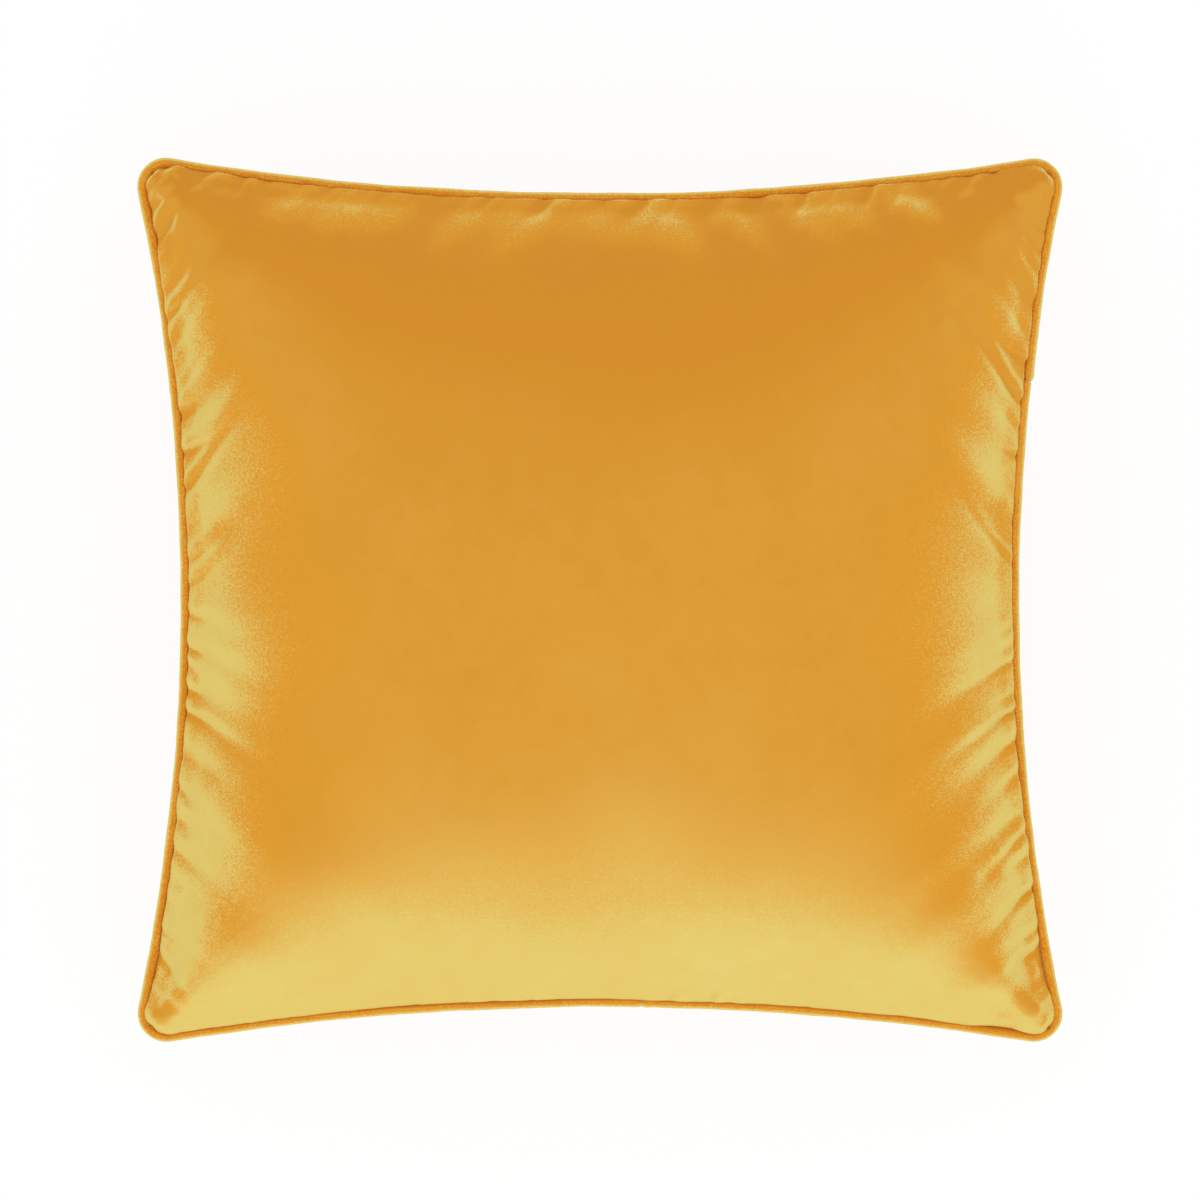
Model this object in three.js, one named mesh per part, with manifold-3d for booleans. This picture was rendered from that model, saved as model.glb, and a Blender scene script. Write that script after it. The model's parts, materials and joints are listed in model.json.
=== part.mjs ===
// A square velvet throw pillow, lying on its back panel: a piped cover with a zip, and the filled pad inside it.
// Units are millimetres. +Z points out of the front panel, +X to its right edge and +Y to its top edge.
// The origin is on the resting surface, under the middle of the pillow.

import * as THREE from "three";
import { mergeVertices } from "three/addons/utils/BufferGeometryUtils.js";
import Module from "manifold-3d";

const wasm = await Module();
wasm.setup();

// Pillow
const pillowWidth = 450; // along X, corner to corner over the piping
const pillowLength = 430; // along Y, corner to corner over the piping
const sidePullIn = 21; // how far the left and right edges curve in between their corners
const endPullIn = 17; // the same for the top and bottom edges
const cornerRadius = 9; // of the seam line, inside the piping
const frontCrown = 80; // the front panel's height over the seam, at its middle
const backCrown = 76; // the depth that the back panel would have with nothing under it
const seamHeight = 70; // the seam's height; less than backCrown, so the resting surface presses a patch flat

// Cloth, cord and sewing
const velvetThickness = 1.2;
const seamAllowance = 10; // panel cloth turned in past the seam line
const pipingDiameter = 5;
const pipingCloth = 0.7; // thickness of the bias strip round the cord
const pipingFlange = 8; // the bias strip's own seam allowance
const closingJoinX = 20; // on the bottom edge, where the piping's two ends meet
const stripJoinY = 108; // on the right edge, where its two bias strips are sewn end to end
const padGap = 2; // between the cover's seam allowances and the pad's edge, where the pad's own seam lies
const casingThickness = 0.5;
const threadThickness = 0.5;
const seamThreadInset = 5; // from the seam line to the row of stitches that holds the panels and the piping
const layerGap = 0.3; // air between pieces that touch

// Zip, on the back panel, just inside the bottom edge
const zipLength = 320; // between the outer ends of its stops
const tapeDepth = 0.6; // of the tapes under the velvet's inner surface, where the panel lies over them
const tapeWidth = 9; // of the panel-side tape, from its coil to its free edge
const tapeThickness = 0.5;
const tapeOverrun = 5; // tape left past each end of the chain
const coilWidth = 1.8; // of one side's coil
const coilHeight = 1.3;
const chainGap = 1; // between the two coils, where the slider's web runs
const stopLength = 3;
const sliderClearance = 0.6; // between the slider and the folds on both sides of its path
const topstitchInset = 2.6; // from that folded edge to its row of stitches

// Slider and pull tab
const sliderLength = 9;
const sliderMouth = 8; // its width where the chain opens
const sliderTail = 6.6;
const sliderPlate = 1;
const sliderWebLength = 2.5;
const bridgeRadius = 3; // outside radius of the arch that carries the pull tab
const bridgeWall = 1;
const bridgeWidth = 1.4;
const tabLength = 24;
const tabWidth = 7;
const tabThickness = 1;
const tabNeck = 4.4; // the tab's width beside its eye
const tabClearance = 0.4;

// Care label, sewn inside the left edge
const labelY = -120;
const labelWidth = 28;
const labelReach = 24; // from the seam line to its free edge
const labelLie = 0.73; // the height of its free edge, as a share of the cover's own height there
const labelThickness = 0.5;

// Crown of a panel, as shares from its middle (0) to the seam (1)
const crownBluntness = 2.4;
const crownSteepness = 0.75;
const roundingStart = 0.1; // where its level lines begin to turn from the outline's shape to round,
const roundingEnd = 0.7; // and where they are round, as shares of the way in from the seam
const cornerThinning = 0.6; // how much flatter the crown is in the corners
const cornerMargin = 6; // from the zip's end to where the crown starts to fall off to the corner

// Fineness
const edgeSteps = 4; // half of each edge
const cornerSteps = 3;
const ringSteps = 7;
const ringCrowding = 1.7; // over 1 draws the rings together towards the seam
const zipSteps = 20;
const weldDistance = 1e-4;

// Sizes that follow from the above
const seamHalfWidth = pillowWidth / 2 - pipingDiameter;
const seamHalfLength = pillowLength / 2 - pipingDiameter;
const flangeTop = layerGap / 2 + pipingCloth;
const panelRise = flangeTop + layerGap; // the panels' seam allowances lie on the piping's flange
const padInset = seamAllowance + padGap;
const zipHalf = zipLength / 2;
const tapeHalf = zipHalf + tapeOverrun;
const coilHalf = zipHalf - stopLength - layerGap;
const cornerStart = (tapeHalf + cornerMargin) / seamHalfWidth; // as a share of the way to the tip
const zipSink = velvetThickness + tapeDepth;
const zipMiddle = tapeThickness + sliderClearance + sliderMouth / 2; // from the seam-side fold to the chain's middle
const foldAt = zipMiddle + sliderMouth / 2 + sliderClearance; // the back panel's folded edge
const chainHalfWidth = chainGap / 2 + coilWidth;
const coilTop = layerGap + coilHeight;
const plateTop = coilTop + layerGap + sliderPlate;

// One pulled-in edge as an arc. Its centre lies outside the pillow, and both ends are tangent to the corners.
function edgeArc(halfAlong, halfAcross, pullIn) {
  const cornerOffset = halfAlong - cornerRadius;
  const radius = (cornerOffset ** 2 + pullIn ** 2) / (2 * pullIn) - cornerRadius;
  const reach = halfAcross - pullIn;
  const halfAngle = Math.atan2(cornerOffset, radius + cornerRadius - pullIn);
  return { radius, reach, centre: reach + radius, halfAngle };
}

const sideArc = edgeArc(seamHalfLength, seamHalfWidth, sidePullIn);
const endArc = edgeArc(seamHalfWidth, seamHalfLength, endPullIn);

// Points of an arc with their outward normals; facing is -1 where the arc's centre is outside the pillow.
function stationsOn(arc, steps, facing) {
  const centre = new THREE.Vector2(arc.aX, arc.aY);
  return arc.getPoints(steps).map((point) => ({
    point,
    normal: point.clone().sub(centre).divideScalar(arc.xRadius * facing),
  }));
}

// The seam line from the middle of the right edge to the middle of the top edge.
function quarterStations() {
  const cornerX = seamHalfWidth - cornerRadius;
  const cornerY = seamHalfLength - cornerRadius;
  const quarterTurn = Math.PI / 2;
  const sideEnd = Math.PI - sideArc.halfAngle;
  const cornerEnd = quarterTurn + endArc.halfAngle;
  const side = new THREE.ArcCurve(sideArc.centre, 0, sideArc.radius, Math.PI, sideEnd, true);
  const corner = new THREE.ArcCurve(cornerX, cornerY, cornerRadius, -sideArc.halfAngle, cornerEnd, false);
  const end = new THREE.ArcCurve(0, endArc.centre, endArc.radius, endArc.halfAngle - quarterTurn, -quarterTurn, true);
  return [
    ...stationsOn(side, edgeSteps, -1).slice(0, -1),
    ...stationsOn(corner, cornerSteps, 1).slice(0, -1),
    ...stationsOn(end, edgeSteps, -1),
  ];
}

// The whole seam line, counter-clockwise, as four mirrored quarters. Each ends where the next one starts.
function seamStations() {
  const quarter = quarterStations();
  const reversed = [...quarter].reverse();
  const mirrored = (list, x, y) => {
    const mirror = new THREE.Vector2(x, y);
    return list.map(({ point, normal }) => ({
      point: point.clone().multiply(mirror),
      normal: normal.clone().multiply(mirror),
    }));
  };
  return [quarter, mirrored(reversed, -1, 1), mirrored(quarter, -1, -1), mirrored(reversed, 1, -1)].flatMap(
    (list) => list.slice(0, -1),
  );
}

const stations = seamStations();

// Turns a profile on the lathe and draws the round result out to the pillow's outline. A profile point holds
// its distance outwards from the seam line in x and its height in y. Outside the seam line a ring is offset
// along the normals; inside it, a ring is a smaller copy of the outline that turns round towards the middle.
function drawnToOutline(profile, shapeHeight = (x, y, height) => height) {
  const turned = new THREE.LatheGeometry(profile, stations.length);
  const { position } = turned.attributes;
  for (let i = 0; i < position.count; i++) {
    const { point, normal } = stations[Math.floor(i / profile.length) % stations.length];
    const { x: outward, y: height } = profile[i % profile.length];
    const share = 1 + Math.min(outward, 0) / endArc.reach;
    const rounding = THREE.MathUtils.smoothstep(1 - share, roundingStart, roundingEnd);
    const round = point.clone().setLength(endArc.reach);
    const place = point.clone().lerp(round, rounding).multiplyScalar(share);
    place.addScaledVector(normal, Math.max(outward, 0));
    position.setXYZ(i, place.x, place.y, shapeHeight(place.x, place.y, height));
  }
  return turned;
}

// The share of the crown that is left at a point, which falls off in the corners.
function cornerFullness(x, y) {
  const towardsTip = Math.abs(x * y) / (seamHalfWidth * seamHalfLength);
  return 1 - cornerThinning * THREE.MathUtils.smoothstep(towardsTip, cornerStart, 1);
}

function crownShare(ring) {
  return (1 - ring ** crownBluntness) ** crownSteepness;
}

// The crown's profile from its edge to its middle, for a layer that lies inside the seam line by inset.
function crownProfile(height, inset) {
  return Array.from({ length: ringSteps + 1 }, (_, step) => {
    const ring = 1 - (step / ringSteps) ** ringCrowding;
    return new THREE.Vector2((endArc.reach - inset) * ring - endArc.reach, height * crownShare(ring));
  });
}

// Half a pillow: the crown over a flat base. Nothing rises over pressedTo, where the pillow is pressed flat.
function crownSolid(height, inset, pressedTo, base = 0) {
  const profile = [
    new THREE.Vector2(-endArc.reach, base),
    new THREE.Vector2(-inset, base),
    ...crownProfile(height, inset).slice(base < 0 ? 0 : 1),
  ];
  const shapeHeight = (x, y, z) => Math.min(z > 0 ? z * cornerFullness(x, y) : z, pressedTo);
  return toSolid(drawnToOutline(profile, shapeHeight));
}

// The shell between two layers of a crown, from outside to outside + thickness, open at the seam.
function crownShell(height, pressedTo, inset, outside, thickness) {
  const inside = outside + thickness;
  const outer = crownSolid(height - outside, inset, pressedTo - outside);
  const inner = crownSolid(height - inside, inset + thickness, pressedTo - inside, -thickness);
  return outer.subtract(inner);
}

// A closed three.js geometry as a manifold-3d solid, and back.
function toSolid(geometry) {
  const bare = geometry.clone();
  bare.deleteAttribute("normal");
  bare.deleteAttribute("uv");
  const welded = mergeVertices(bare, weldDistance);
  const vertProperties = welded.attributes.position.array;
  const triVerts = new Uint32Array(welded.index.array);
  return new wasm.Manifold(new wasm.Mesh({ numProp: 3, vertProperties, triVerts }));
}

function toGeometry(solid) {
  const { vertProperties, triVerts } = solid.getMesh();
  const geometry = new THREE.BufferGeometry();
  geometry.setAttribute("position", new THREE.BufferAttribute(vertProperties, 3));
  geometry.setIndex(new THREE.BufferAttribute(triVerts, 1));
  geometry.computeVertexNormals();
  return geometry;
}

function rectangle(left, bottom, right, top) {
  return [
    new THREE.Vector2(left, bottom),
    new THREE.Vector2(right, bottom),
    new THREE.Vector2(right, top),
    new THREE.Vector2(left, top),
  ];
}

// A closed ring of any section, round the outline.
function outlineRing(section) {
  return drawnToOutline([...section, section[0]]);
}

function named(name, geometry, material) {
  const mesh = new THREE.Mesh(geometry, material);
  mesh.name = name;
  return mesh;
}

const finish = (color, roughness, metalness = 0) =>
  new THREE.MeshStandardMaterial({ color, roughness, metalness });
const velvet = finish(0xdd9d36, 0.85);
const pipingVelvet = finish(0xe0922a, 0.85);
const cottonCord = finish(0xeee6d4, 0.9);
const amberThread = finish(0xd28a22, 0.6);
const zipTape = finish(0xcf8a24, 0.8);
const zipNylon = finish(0xc98420, 0.4);
const zipMetal = finish(0xb9a06a, 0.35, 1);
const labelSatin = finish(0xf4f1ea, 0.45);
const padCotton = finish(0xf2efe8, 0.9);
const padThread = finish(0xfafafa, 0.6);
const fibre = finish(0xfcfcfa, 0.95);

// Cover. The front side's frame is at the seam line; the back side's frame is the same, turned over about X,
// so that the back panel is upwards in it and the bottom edge is at +Y.
const frontSide = new THREE.Group();
frontSide.position.z = seamHeight;
const backSide = new THREE.Group();
backSide.position.z = seamHeight;
backSide.rotation.x = Math.PI;

const unpressed = Infinity;
const restDepth = seamHeight - panelRise; // the back panel's depth, pressed flat by what it rests on

function panelSolid(height, pressedTo) {
  const shell = crownShell(height, pressedTo, 0, 0, velvetThickness);
  const turnIn = outlineRing(rectangle(-seamAllowance, 0, -velvetThickness / 2, velvetThickness));
  const panel = shell.add(toSolid(turnIn));
  return panel.translate([0, 0, panelRise]);
}

// Piping: a bias strip wrapped round a cord, its two edges lying flat between the panels.
function pipingSection() {
  const radius = pipingDiameter / 2;
  const inner = radius - pipingCloth;
  const arc = (r, throat, steps) => {
    const open = Math.asin(throat / r);
    const curve = new THREE.ArcCurve(radius, 0, r, Math.PI - open, open - Math.PI, true);
    return curve.getPoints(steps);
  };
  return [
    new THREE.Vector2(-pipingFlange, flangeTop),
    ...arc(radius, flangeTop, 8),
    new THREE.Vector2(-pipingFlange, -flangeTop),
    new THREE.Vector2(-pipingFlange, -layerGap / 2),
    ...arc(inner, layerGap / 2, 6).reverse(),
    new THREE.Vector2(-pipingFlange, layerGap / 2),
  ].reverse();
}

// A thin cut right through the piping, across the bottom edge or across the right edge.
function joinCut(x, y, across) {
  const length = 4 * (pipingDiameter + pipingFlange);
  const cut = new THREE.BoxGeometry(across ? layerGap : length, across ? length : layerGap, length);
  return toSolid(cut.translate(x, y, 0));
}

const closingJoin = joinCut(closingJoinX, -endArc.reach, true);
const stripJoin = joinCut(sideArc.reach, stripJoinY, false);

function pipingStrips() {
  const ring = toSolid(outlineRing(pipingSection()));
  const lengths = ring.subtract(closingJoin).subtract(stripJoin).decompose();
  return lengths.sort((a, b) => b.volume() - a.volume());
}

function pipingCord() {
  const radius = pipingDiameter / 2 - pipingCloth - layerGap;
  const circle = new THREE.ArcCurve(pipingDiameter / 2, 0, radius, 0, 2 * Math.PI, false).getPoints(8);
  return toSolid(drawnToOutline(circle)).subtract(closingJoin);
}

function threadRing(inset, bottom) {
  return outlineRing(rectangle(-inset - threadThickness, bottom, -inset, bottom + threadThickness));
}

const [longStrip, shortStrip] = pipingStrips();
const seamThreadHeight = panelRise + velvetThickness + layerGap;
frontSide.add(
  named("front_panel", toGeometry(panelSolid(frontCrown, unpressed)), velvet),
  named("piping_cover_long", toGeometry(longStrip), pipingVelvet),
  named("piping_cover_short", toGeometry(shortStrip), pipingVelvet),
  named("piping_cord", toGeometry(pipingCord()), cottonCord),
  named("cover_seam_thread", threadRing(seamThreadInset, seamThreadHeight), amberThread),
);

// Zip. Its frame follows the back crown's slope beside the seam: across is up the slope from the tape's fold,
// and out is away from the pillow. Both are turned into an inset from the seam line and a height.
const slopeStart = 1.2;
const slopeEnd = 9.2;
const backSurface = (inset) => panelRise + backCrown * crownShare(1 - inset / endArc.reach);
const zipTilt = Math.atan2(backSurface(slopeEnd) - backSurface(slopeStart), slopeEnd - slopeStart);

function zipPoint(across, out) {
  const depth = out - zipSink;
  const inset = slopeStart + across * Math.cos(zipTilt) - depth * Math.sin(zipTilt);
  const height = backSurface(slopeStart) + across * Math.sin(zipTilt) + depth * Math.cos(zipTilt);
  return new THREE.Vector2(inset, height);
}

// The line that the zip follows: the bottom edge's own arc, from one X to another.
class BottomEdge extends THREE.Curve {
  constructor(fromX, toX) {
    super();
    this.from = Math.asin(fromX / endArc.radius);
    this.to = Math.asin(toX / endArc.radius);
  }

  getPoint(t, target = new THREE.Vector3()) {
    const angle = THREE.MathUtils.lerp(this.from, this.to, t);
    const { centre, radius } = endArc;
    return target.set(radius * Math.sin(angle), centre - radius * Math.cos(angle), 0);
  }
}

// A bar along the zip, from its section as insets and heights. The sweep's own frame on this arc has its
// first axis down and its second axis outwards.
function alongZip(section, halfLength) {
  const shape = new THREE.Shape(section.map(({ x: inset, y: height }) => new THREE.Vector2(-height, -inset)));
  const extrudePath = new BottomEdge(-halfLength, halfLength);
  return new THREE.ExtrudeGeometry(shape, { extrudePath, steps: zipSteps });
}

// The seam-side tape is sewn flat to the seam allowances and folds up the slope to its coil.
function seamSideTape() {
  const low = panelRise;
  const high = panelRise + tapeThickness;
  const fold = zipPoint(0, 0);
  const edge = zipMiddle - chainGap / 2;
  return [
    new THREE.Vector2(seamAllowance, low),
    new THREE.Vector2(fold.x - tapeThickness, low),
    fold,
    zipPoint(edge, 0),
    zipPoint(edge, -tapeThickness),
    zipPoint(tapeThickness, -tapeThickness),
    new THREE.Vector2(fold.x + tapeThickness, high),
    new THREE.Vector2(seamAllowance, high),
  ];
}

function panelSideTape() {
  const edge = zipMiddle + chainGap / 2;
  const free = edge + tapeWidth;
  return [
    zipPoint(edge, -tapeThickness),
    zipPoint(free, -tapeThickness),
    zipPoint(free, 0),
    zipPoint(edge, 0),
  ];
}

// One side's coil, as a bar with its outer edges rounded off. side is -1 at the seam and 1 at the panel.
function coilSection(side) {
  const near = zipMiddle + (side * chainGap) / 2;
  const far = zipMiddle + side * chainHalfWidth;
  const round = (side * coilWidth) / 4;
  return [
    zipPoint(near, layerGap),
    zipPoint(far, layerGap),
    zipPoint(far, coilTop - Math.abs(round)),
    zipPoint(far - round, coilTop),
    zipPoint(near, coilTop),
  ];
}

// The back panel is open along the zip: its edge is folded under beside the slider's path, and it has no
// seam allowance there.
const wellClear = 12; // further than anything that the opening has to cut

function zipOpening() {
  const turnInTop = panelRise + velvetThickness + layerGap;
  const section = [
    new THREE.Vector2(-wellClear, 0),
    new THREE.Vector2(seamAllowance + layerGap, 0),
    new THREE.Vector2(seamAllowance + layerGap, turnInTop),
    zipPoint(foldAt, 0),
    zipPoint(foldAt, wellClear),
    new THREE.Vector2(-wellClear, zipPoint(foldAt, wellClear).y),
  ];
  return toSolid(alongZip(section, tapeHalf + layerGap));
}

const backPanel = panelSolid(backCrown, restDepth).subtract(zipOpening());

// The topstitching that holds the folded edge to its tape, lying on the velvet. The panel's edge is made of
// chords, so its surface stands a little proud of the arc between stations.
function topstitch() {
  const inset = zipPoint(foldAt + topstitchInset, zipSink).x;
  const chordSag = endArc.radius * (1 - Math.cos(endArc.halfAngle / edgeSteps / 2));
  const bottom = backSurface(inset + threadThickness) + chordSag * Math.tan(zipTilt) + layerGap;
  const section = rectangle(inset, bottom, inset + threadThickness, bottom + threadThickness);
  return alongZip(section, tapeHalf);
}

backSide.add(
  named("back_panel", toGeometry(backPanel), velvet),
  named("zip_tape_seam_side", alongZip(seamSideTape(), tapeHalf), zipTape),
  named("zip_tape_panel_side", alongZip(panelSideTape(), tapeHalf), zipTape),
  named("zip_coil_seam_side", alongZip(coilSection(-1), coilHalf), zipNylon),
  named("zip_coil_panel_side", alongZip(coilSection(1), coilHalf), zipNylon),
  named("zip_topstitch_thread", topstitch(), amberThread),
);

// A frame on the zip at a distance along it: X along the zip, Y towards the seam, Z out of the pillow, with its
// origin on the tapes in the middle of the chain. It hangs from the centre of the bottom edge's arc.
function frameOnZip(x) {
  const turning = new THREE.Group();
  turning.position.y = endArc.centre;
  turning.rotation.z = Math.asin(x / endArc.radius);
  const frame = new THREE.Group();
  const middle = zipPoint(zipMiddle, 0);
  frame.position.set(0, -endArc.radius - middle.x, middle.y);
  frame.rotation.x = -zipTilt;
  turning.add(frame);
  backSide.add(turning);
  return frame;
}

function box(left, right, near, far, bottom, top) {
  const geometry = new THREE.BoxGeometry(right - left, far - near, top - bottom);
  return geometry.translate((left + right) / 2, (near + far) / 2, (bottom + top) / 2);
}

function addStops() {
  const half = stopLength / 2;
  const closedEnd = frameOnZip(zipHalf - half);
  const seamStop = box(-half, half, chainGap / 2, chainHalfWidth, layerGap, coilTop);
  const panelStop = box(-half, half, -chainHalfWidth, -chainGap / 2, layerGap, coilTop);
  closedEnd.add(
    named("zip_top_stop_seam_side", seamStop, zipMetal),
    named("zip_top_stop_panel_side", panelStop, zipMetal),
  );
  const bottomStop = box(-half, half, -chainHalfWidth, chainHalfWidth, layerGap, coilTop);
  frameOnZip(half - zipHalf).add(named("zip_bottom_stop", bottomStop, zipMetal));
}

// The slider's plates, seen from outside: widest at the mouth, which leads as the zip closes.
function sliderOutline() {
  const half = sliderLength / 2;
  const shape = new THREE.Shape();
  shape.moveTo(-half, -sliderTail / 2);
  shape.lineTo(0, -sliderTail / 2);
  shape.quadraticCurveTo(half / 2, -sliderMouth / 2, half - 1, -sliderMouth / 2);
  shape.quadraticCurveTo(half, -sliderMouth / 2, half, 1 - sliderMouth / 2);
  shape.lineTo(half, sliderMouth / 2 - 1);
  shape.quadraticCurveTo(half, sliderMouth / 2, half - 1, sliderMouth / 2);
  shape.quadraticCurveTo(half / 2, sliderMouth / 2, 0, sliderTail / 2);
  shape.lineTo(-half, sliderTail / 2);
  return shape;
}

// An arch over the plate, along the zip, with room under it for the tab's crossbar.
function bridge() {
  const shape = new THREE.Shape();
  shape.absarc(0, 0, bridgeRadius, 0, Math.PI, false);
  shape.absarc(0, 0, bridgeRadius - bridgeWall, Math.PI, 0, true);
  const settings = { depth: bridgeWidth, bevelEnabled: false, curveSegments: 8 };
  const standing = new THREE.ExtrudeGeometry(shape, settings).rotateX(Math.PI / 2);
  const sunk = layerGap; // the arch's feet are set into the plate
  return standing.translate(0, bridgeWidth / 2, plateTop - sunk);
}

// Two plates joined by a web that runs between the coils, and lips that hold the coils in.
function slider() {
  const plate = (bottom) =>
    new THREE.ExtrudeGeometry(sliderOutline(), { depth: sliderPlate, bevelEnabled: false, curveSegments: 4 })
      .translate(0, 0, bottom);
  const half = sliderLength / 2;
  const webHalf = chainGap / 2 - layerGap;
  const plateBottom = plateTop - sliderPlate;
  const backPlateTop = -tapeThickness - layerGap;
  const lipInside = chainHalfWidth + layerGap;
  const inPlate = sliderPlate / 2; // how far a joined piece runs into its plate
  const web = box(half - sliderWebLength, half, -webHalf, webHalf, backPlateTop - inPlate, plateBottom + inPlate);
  const lips = [-1, 1].map((side) => {
    const ends = [side * lipInside, (side * sliderTail) / 2].sort((a, b) => a - b);
    return box(-half, 0, ends[0], ends[1], layerGap, plateBottom + inPlate);
  });
  const pieces = [plate(plateBottom), plate(backPlateTop - sliderPlate), web, ...lips, bridge()];
  return pieces.map(toSolid).reduce((body, piece) => body.add(piece));
}

// The pull tab lies back over the closed chain. Its crossbar, at the origin, turns under the bridge.
function pullTab() {
  const bar = tabThickness / 2;
  const eyeEnd = -(bridgeRadius + tabClearance + bar);
  const eyeHalf = bridgeWidth / 2 + tabClearance;
  const shape = new THREE.Shape();
  shape.moveTo(bar, -tabNeck / 2);
  shape.lineTo(bar, tabNeck / 2);
  shape.lineTo(eyeEnd, tabNeck / 2);
  shape.quadraticCurveTo(eyeEnd - tabNeck / 2, tabNeck / 2, eyeEnd - tabNeck, tabWidth / 2);
  shape.absarc(tabWidth / 2 - tabLength, 0, tabWidth / 2, Math.PI / 2, (3 * Math.PI) / 2, false);
  shape.lineTo(eyeEnd - tabNeck, -tabWidth / 2);
  shape.quadraticCurveTo(eyeEnd - tabNeck / 2, -tabNeck / 2, eyeEnd, -tabNeck / 2);
  shape.holes.push(new THREE.Path(rectangle(eyeEnd, -eyeHalf, -bar, eyeHalf)));
  const settings = { depth: tabThickness, bevelEnabled: false, curveSegments: 6 };
  return new THREE.ExtrudeGeometry(shape, settings).translate(0, 0, -bar);
}

function addSlider() {
  const closedX = coilHalf - layerGap - sliderLength / 2;
  const frame = frameOnZip(closedX);
  const tab = named("zip_pull_tab", pullTab(), zipMetal);
  tab.position.z = plateTop + layerGap + tabThickness / 2;
  frame.add(named("zip_slider", toGeometry(slider()), zipMetal), tab);
}

addStops();
addSlider();

// The care label is a doubled ribbon: one end sewn to the seam allowance, the rest lying up over the pad.
function addCareLabel() {
  const bottom = panelRise + velvetThickness + layerGap;
  const bend = seamAllowance;
  const lying = [(bend + labelReach) / 2, labelReach].map(
    (inset) => new THREE.Vector2(inset, panelRise + labelLie * backCrown * crownShare(1 - inset / sideArc.reach)),
  );
  const across = labelThickness / Math.SQRT2; // the lying part slopes at about 45 degrees
  const shape = new THREE.Shape([
    new THREE.Vector2(seamThreadInset, bottom),
    new THREE.Vector2(bend, bottom),
    ...lying,
    ...lying.map(({ x, y }) => new THREE.Vector2(x - across, y + across)).reverse(),
    new THREE.Vector2(bend - across, bottom + labelThickness),
    new THREE.Vector2(seamThreadInset, bottom + labelThickness),
  ]);
  const ribbon = new THREE.ExtrudeGeometry(shape, { depth: labelWidth, bevelEnabled: false });
  ribbon.translate(0, 0, -labelWidth / 2).rotateX(Math.PI / 2);
  const label = named("care_label", ribbon, labelSatin);
  label.position.x = sideArc.radius;
  const turning = new THREE.Group();
  turning.position.x = -sideArc.centre;
  turning.rotation.z = Math.asin(-labelY / sideArc.radius);
  turning.add(label);
  backSide.add(turning);
}

addCareLabel();

// Pad: a casing in two halves, sewn together all round, and its filling.
const padClearance = velvetThickness + layerGap;

function casing(height, pressedTo) {
  const shell = crownShell(height, pressedTo, padInset, padClearance, casingThickness);
  return toGeometry(shell.translate([0, 0, layerGap / 2]));
}

function filling() {
  const inset = padInset + casingThickness + layerGap;
  const inside = padClearance + casingThickness + layerGap;
  const back = crownProfile(backCrown - inside, inset).map(({ x, y }) => new THREE.Vector2(x, -y));
  const front = crownProfile(frontCrown - inside, inset).slice(1);
  const lowest = inside - restDepth;
  return drawnToOutline([...back.reverse(), ...front], (x, y, z) => Math.max(z * cornerFullness(x, y), lowest));
}

function addPad() {
  const threadInset = seamAllowance + (padGap - threadThickness) / 2;
  frontSide.add(
    named("pad_casing_front", casing(frontCrown, unpressed), padCotton),
    named("pad_seam_thread", threadRing(threadInset, -threadThickness / 2), padThread),
    named("pad_filling", filling(), fibre),
  );
  backSide.add(named("pad_casing_back", casing(backCrown, restDepth), padCotton));
}

addPad();

const pillow = new THREE.Group();
pillow.add(frontSide, backSide);

export default pillow;
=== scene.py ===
import json
import math
import bpy
import bmesh
import numpy as np
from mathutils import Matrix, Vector


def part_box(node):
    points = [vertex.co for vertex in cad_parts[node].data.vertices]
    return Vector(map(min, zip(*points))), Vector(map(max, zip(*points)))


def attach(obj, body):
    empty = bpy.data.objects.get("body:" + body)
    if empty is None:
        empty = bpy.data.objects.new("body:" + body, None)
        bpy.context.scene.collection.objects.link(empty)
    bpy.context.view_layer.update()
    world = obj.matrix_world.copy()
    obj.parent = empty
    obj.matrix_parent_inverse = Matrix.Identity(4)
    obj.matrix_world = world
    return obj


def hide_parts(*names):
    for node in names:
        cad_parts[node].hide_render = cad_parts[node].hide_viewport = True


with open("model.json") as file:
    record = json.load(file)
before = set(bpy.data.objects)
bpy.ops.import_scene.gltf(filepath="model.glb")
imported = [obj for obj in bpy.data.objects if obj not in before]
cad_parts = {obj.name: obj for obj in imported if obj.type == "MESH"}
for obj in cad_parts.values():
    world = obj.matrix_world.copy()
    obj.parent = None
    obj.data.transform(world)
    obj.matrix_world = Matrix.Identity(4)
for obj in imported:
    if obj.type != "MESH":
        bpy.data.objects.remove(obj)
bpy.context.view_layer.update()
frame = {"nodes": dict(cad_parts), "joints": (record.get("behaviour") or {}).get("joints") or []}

# The pillow lies on its back panel. Metres; +Z out of the front panel, +Y to the top edge, and the zip along
# the bottom edge.
pillow = {
    "halfWidth": 0.220,      # of the seam line, to its corners
    "halfLength": 0.210,
    "sidePullIn": 0.021,
    "endPullIn": 0.017,
    "cornerRadius": 0.009,
    "seamRise": 0.0010,      # of each panel's edge over the seam plane, clear of the piping's flange
    "backCrown": 0.076,      # the back's depth before it is pressed flat
    "bluntness": 2.4,
    "steepness": 0.75,
    "cornerThinning": 2.2,   # lower is thinner
}
seamZ = (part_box("piping_cord")[0].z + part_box("piping_cord")[1].z) / 2
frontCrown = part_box("front_panel")[1].z - seamZ - pillow["seamRise"]
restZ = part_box("back_panel")[0].z


def smooth(low, high, x):
    t = np.clip((x - low) / (high - low), 0.0, 1.0)
    return t * t * (3 - 2 * t)


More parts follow.
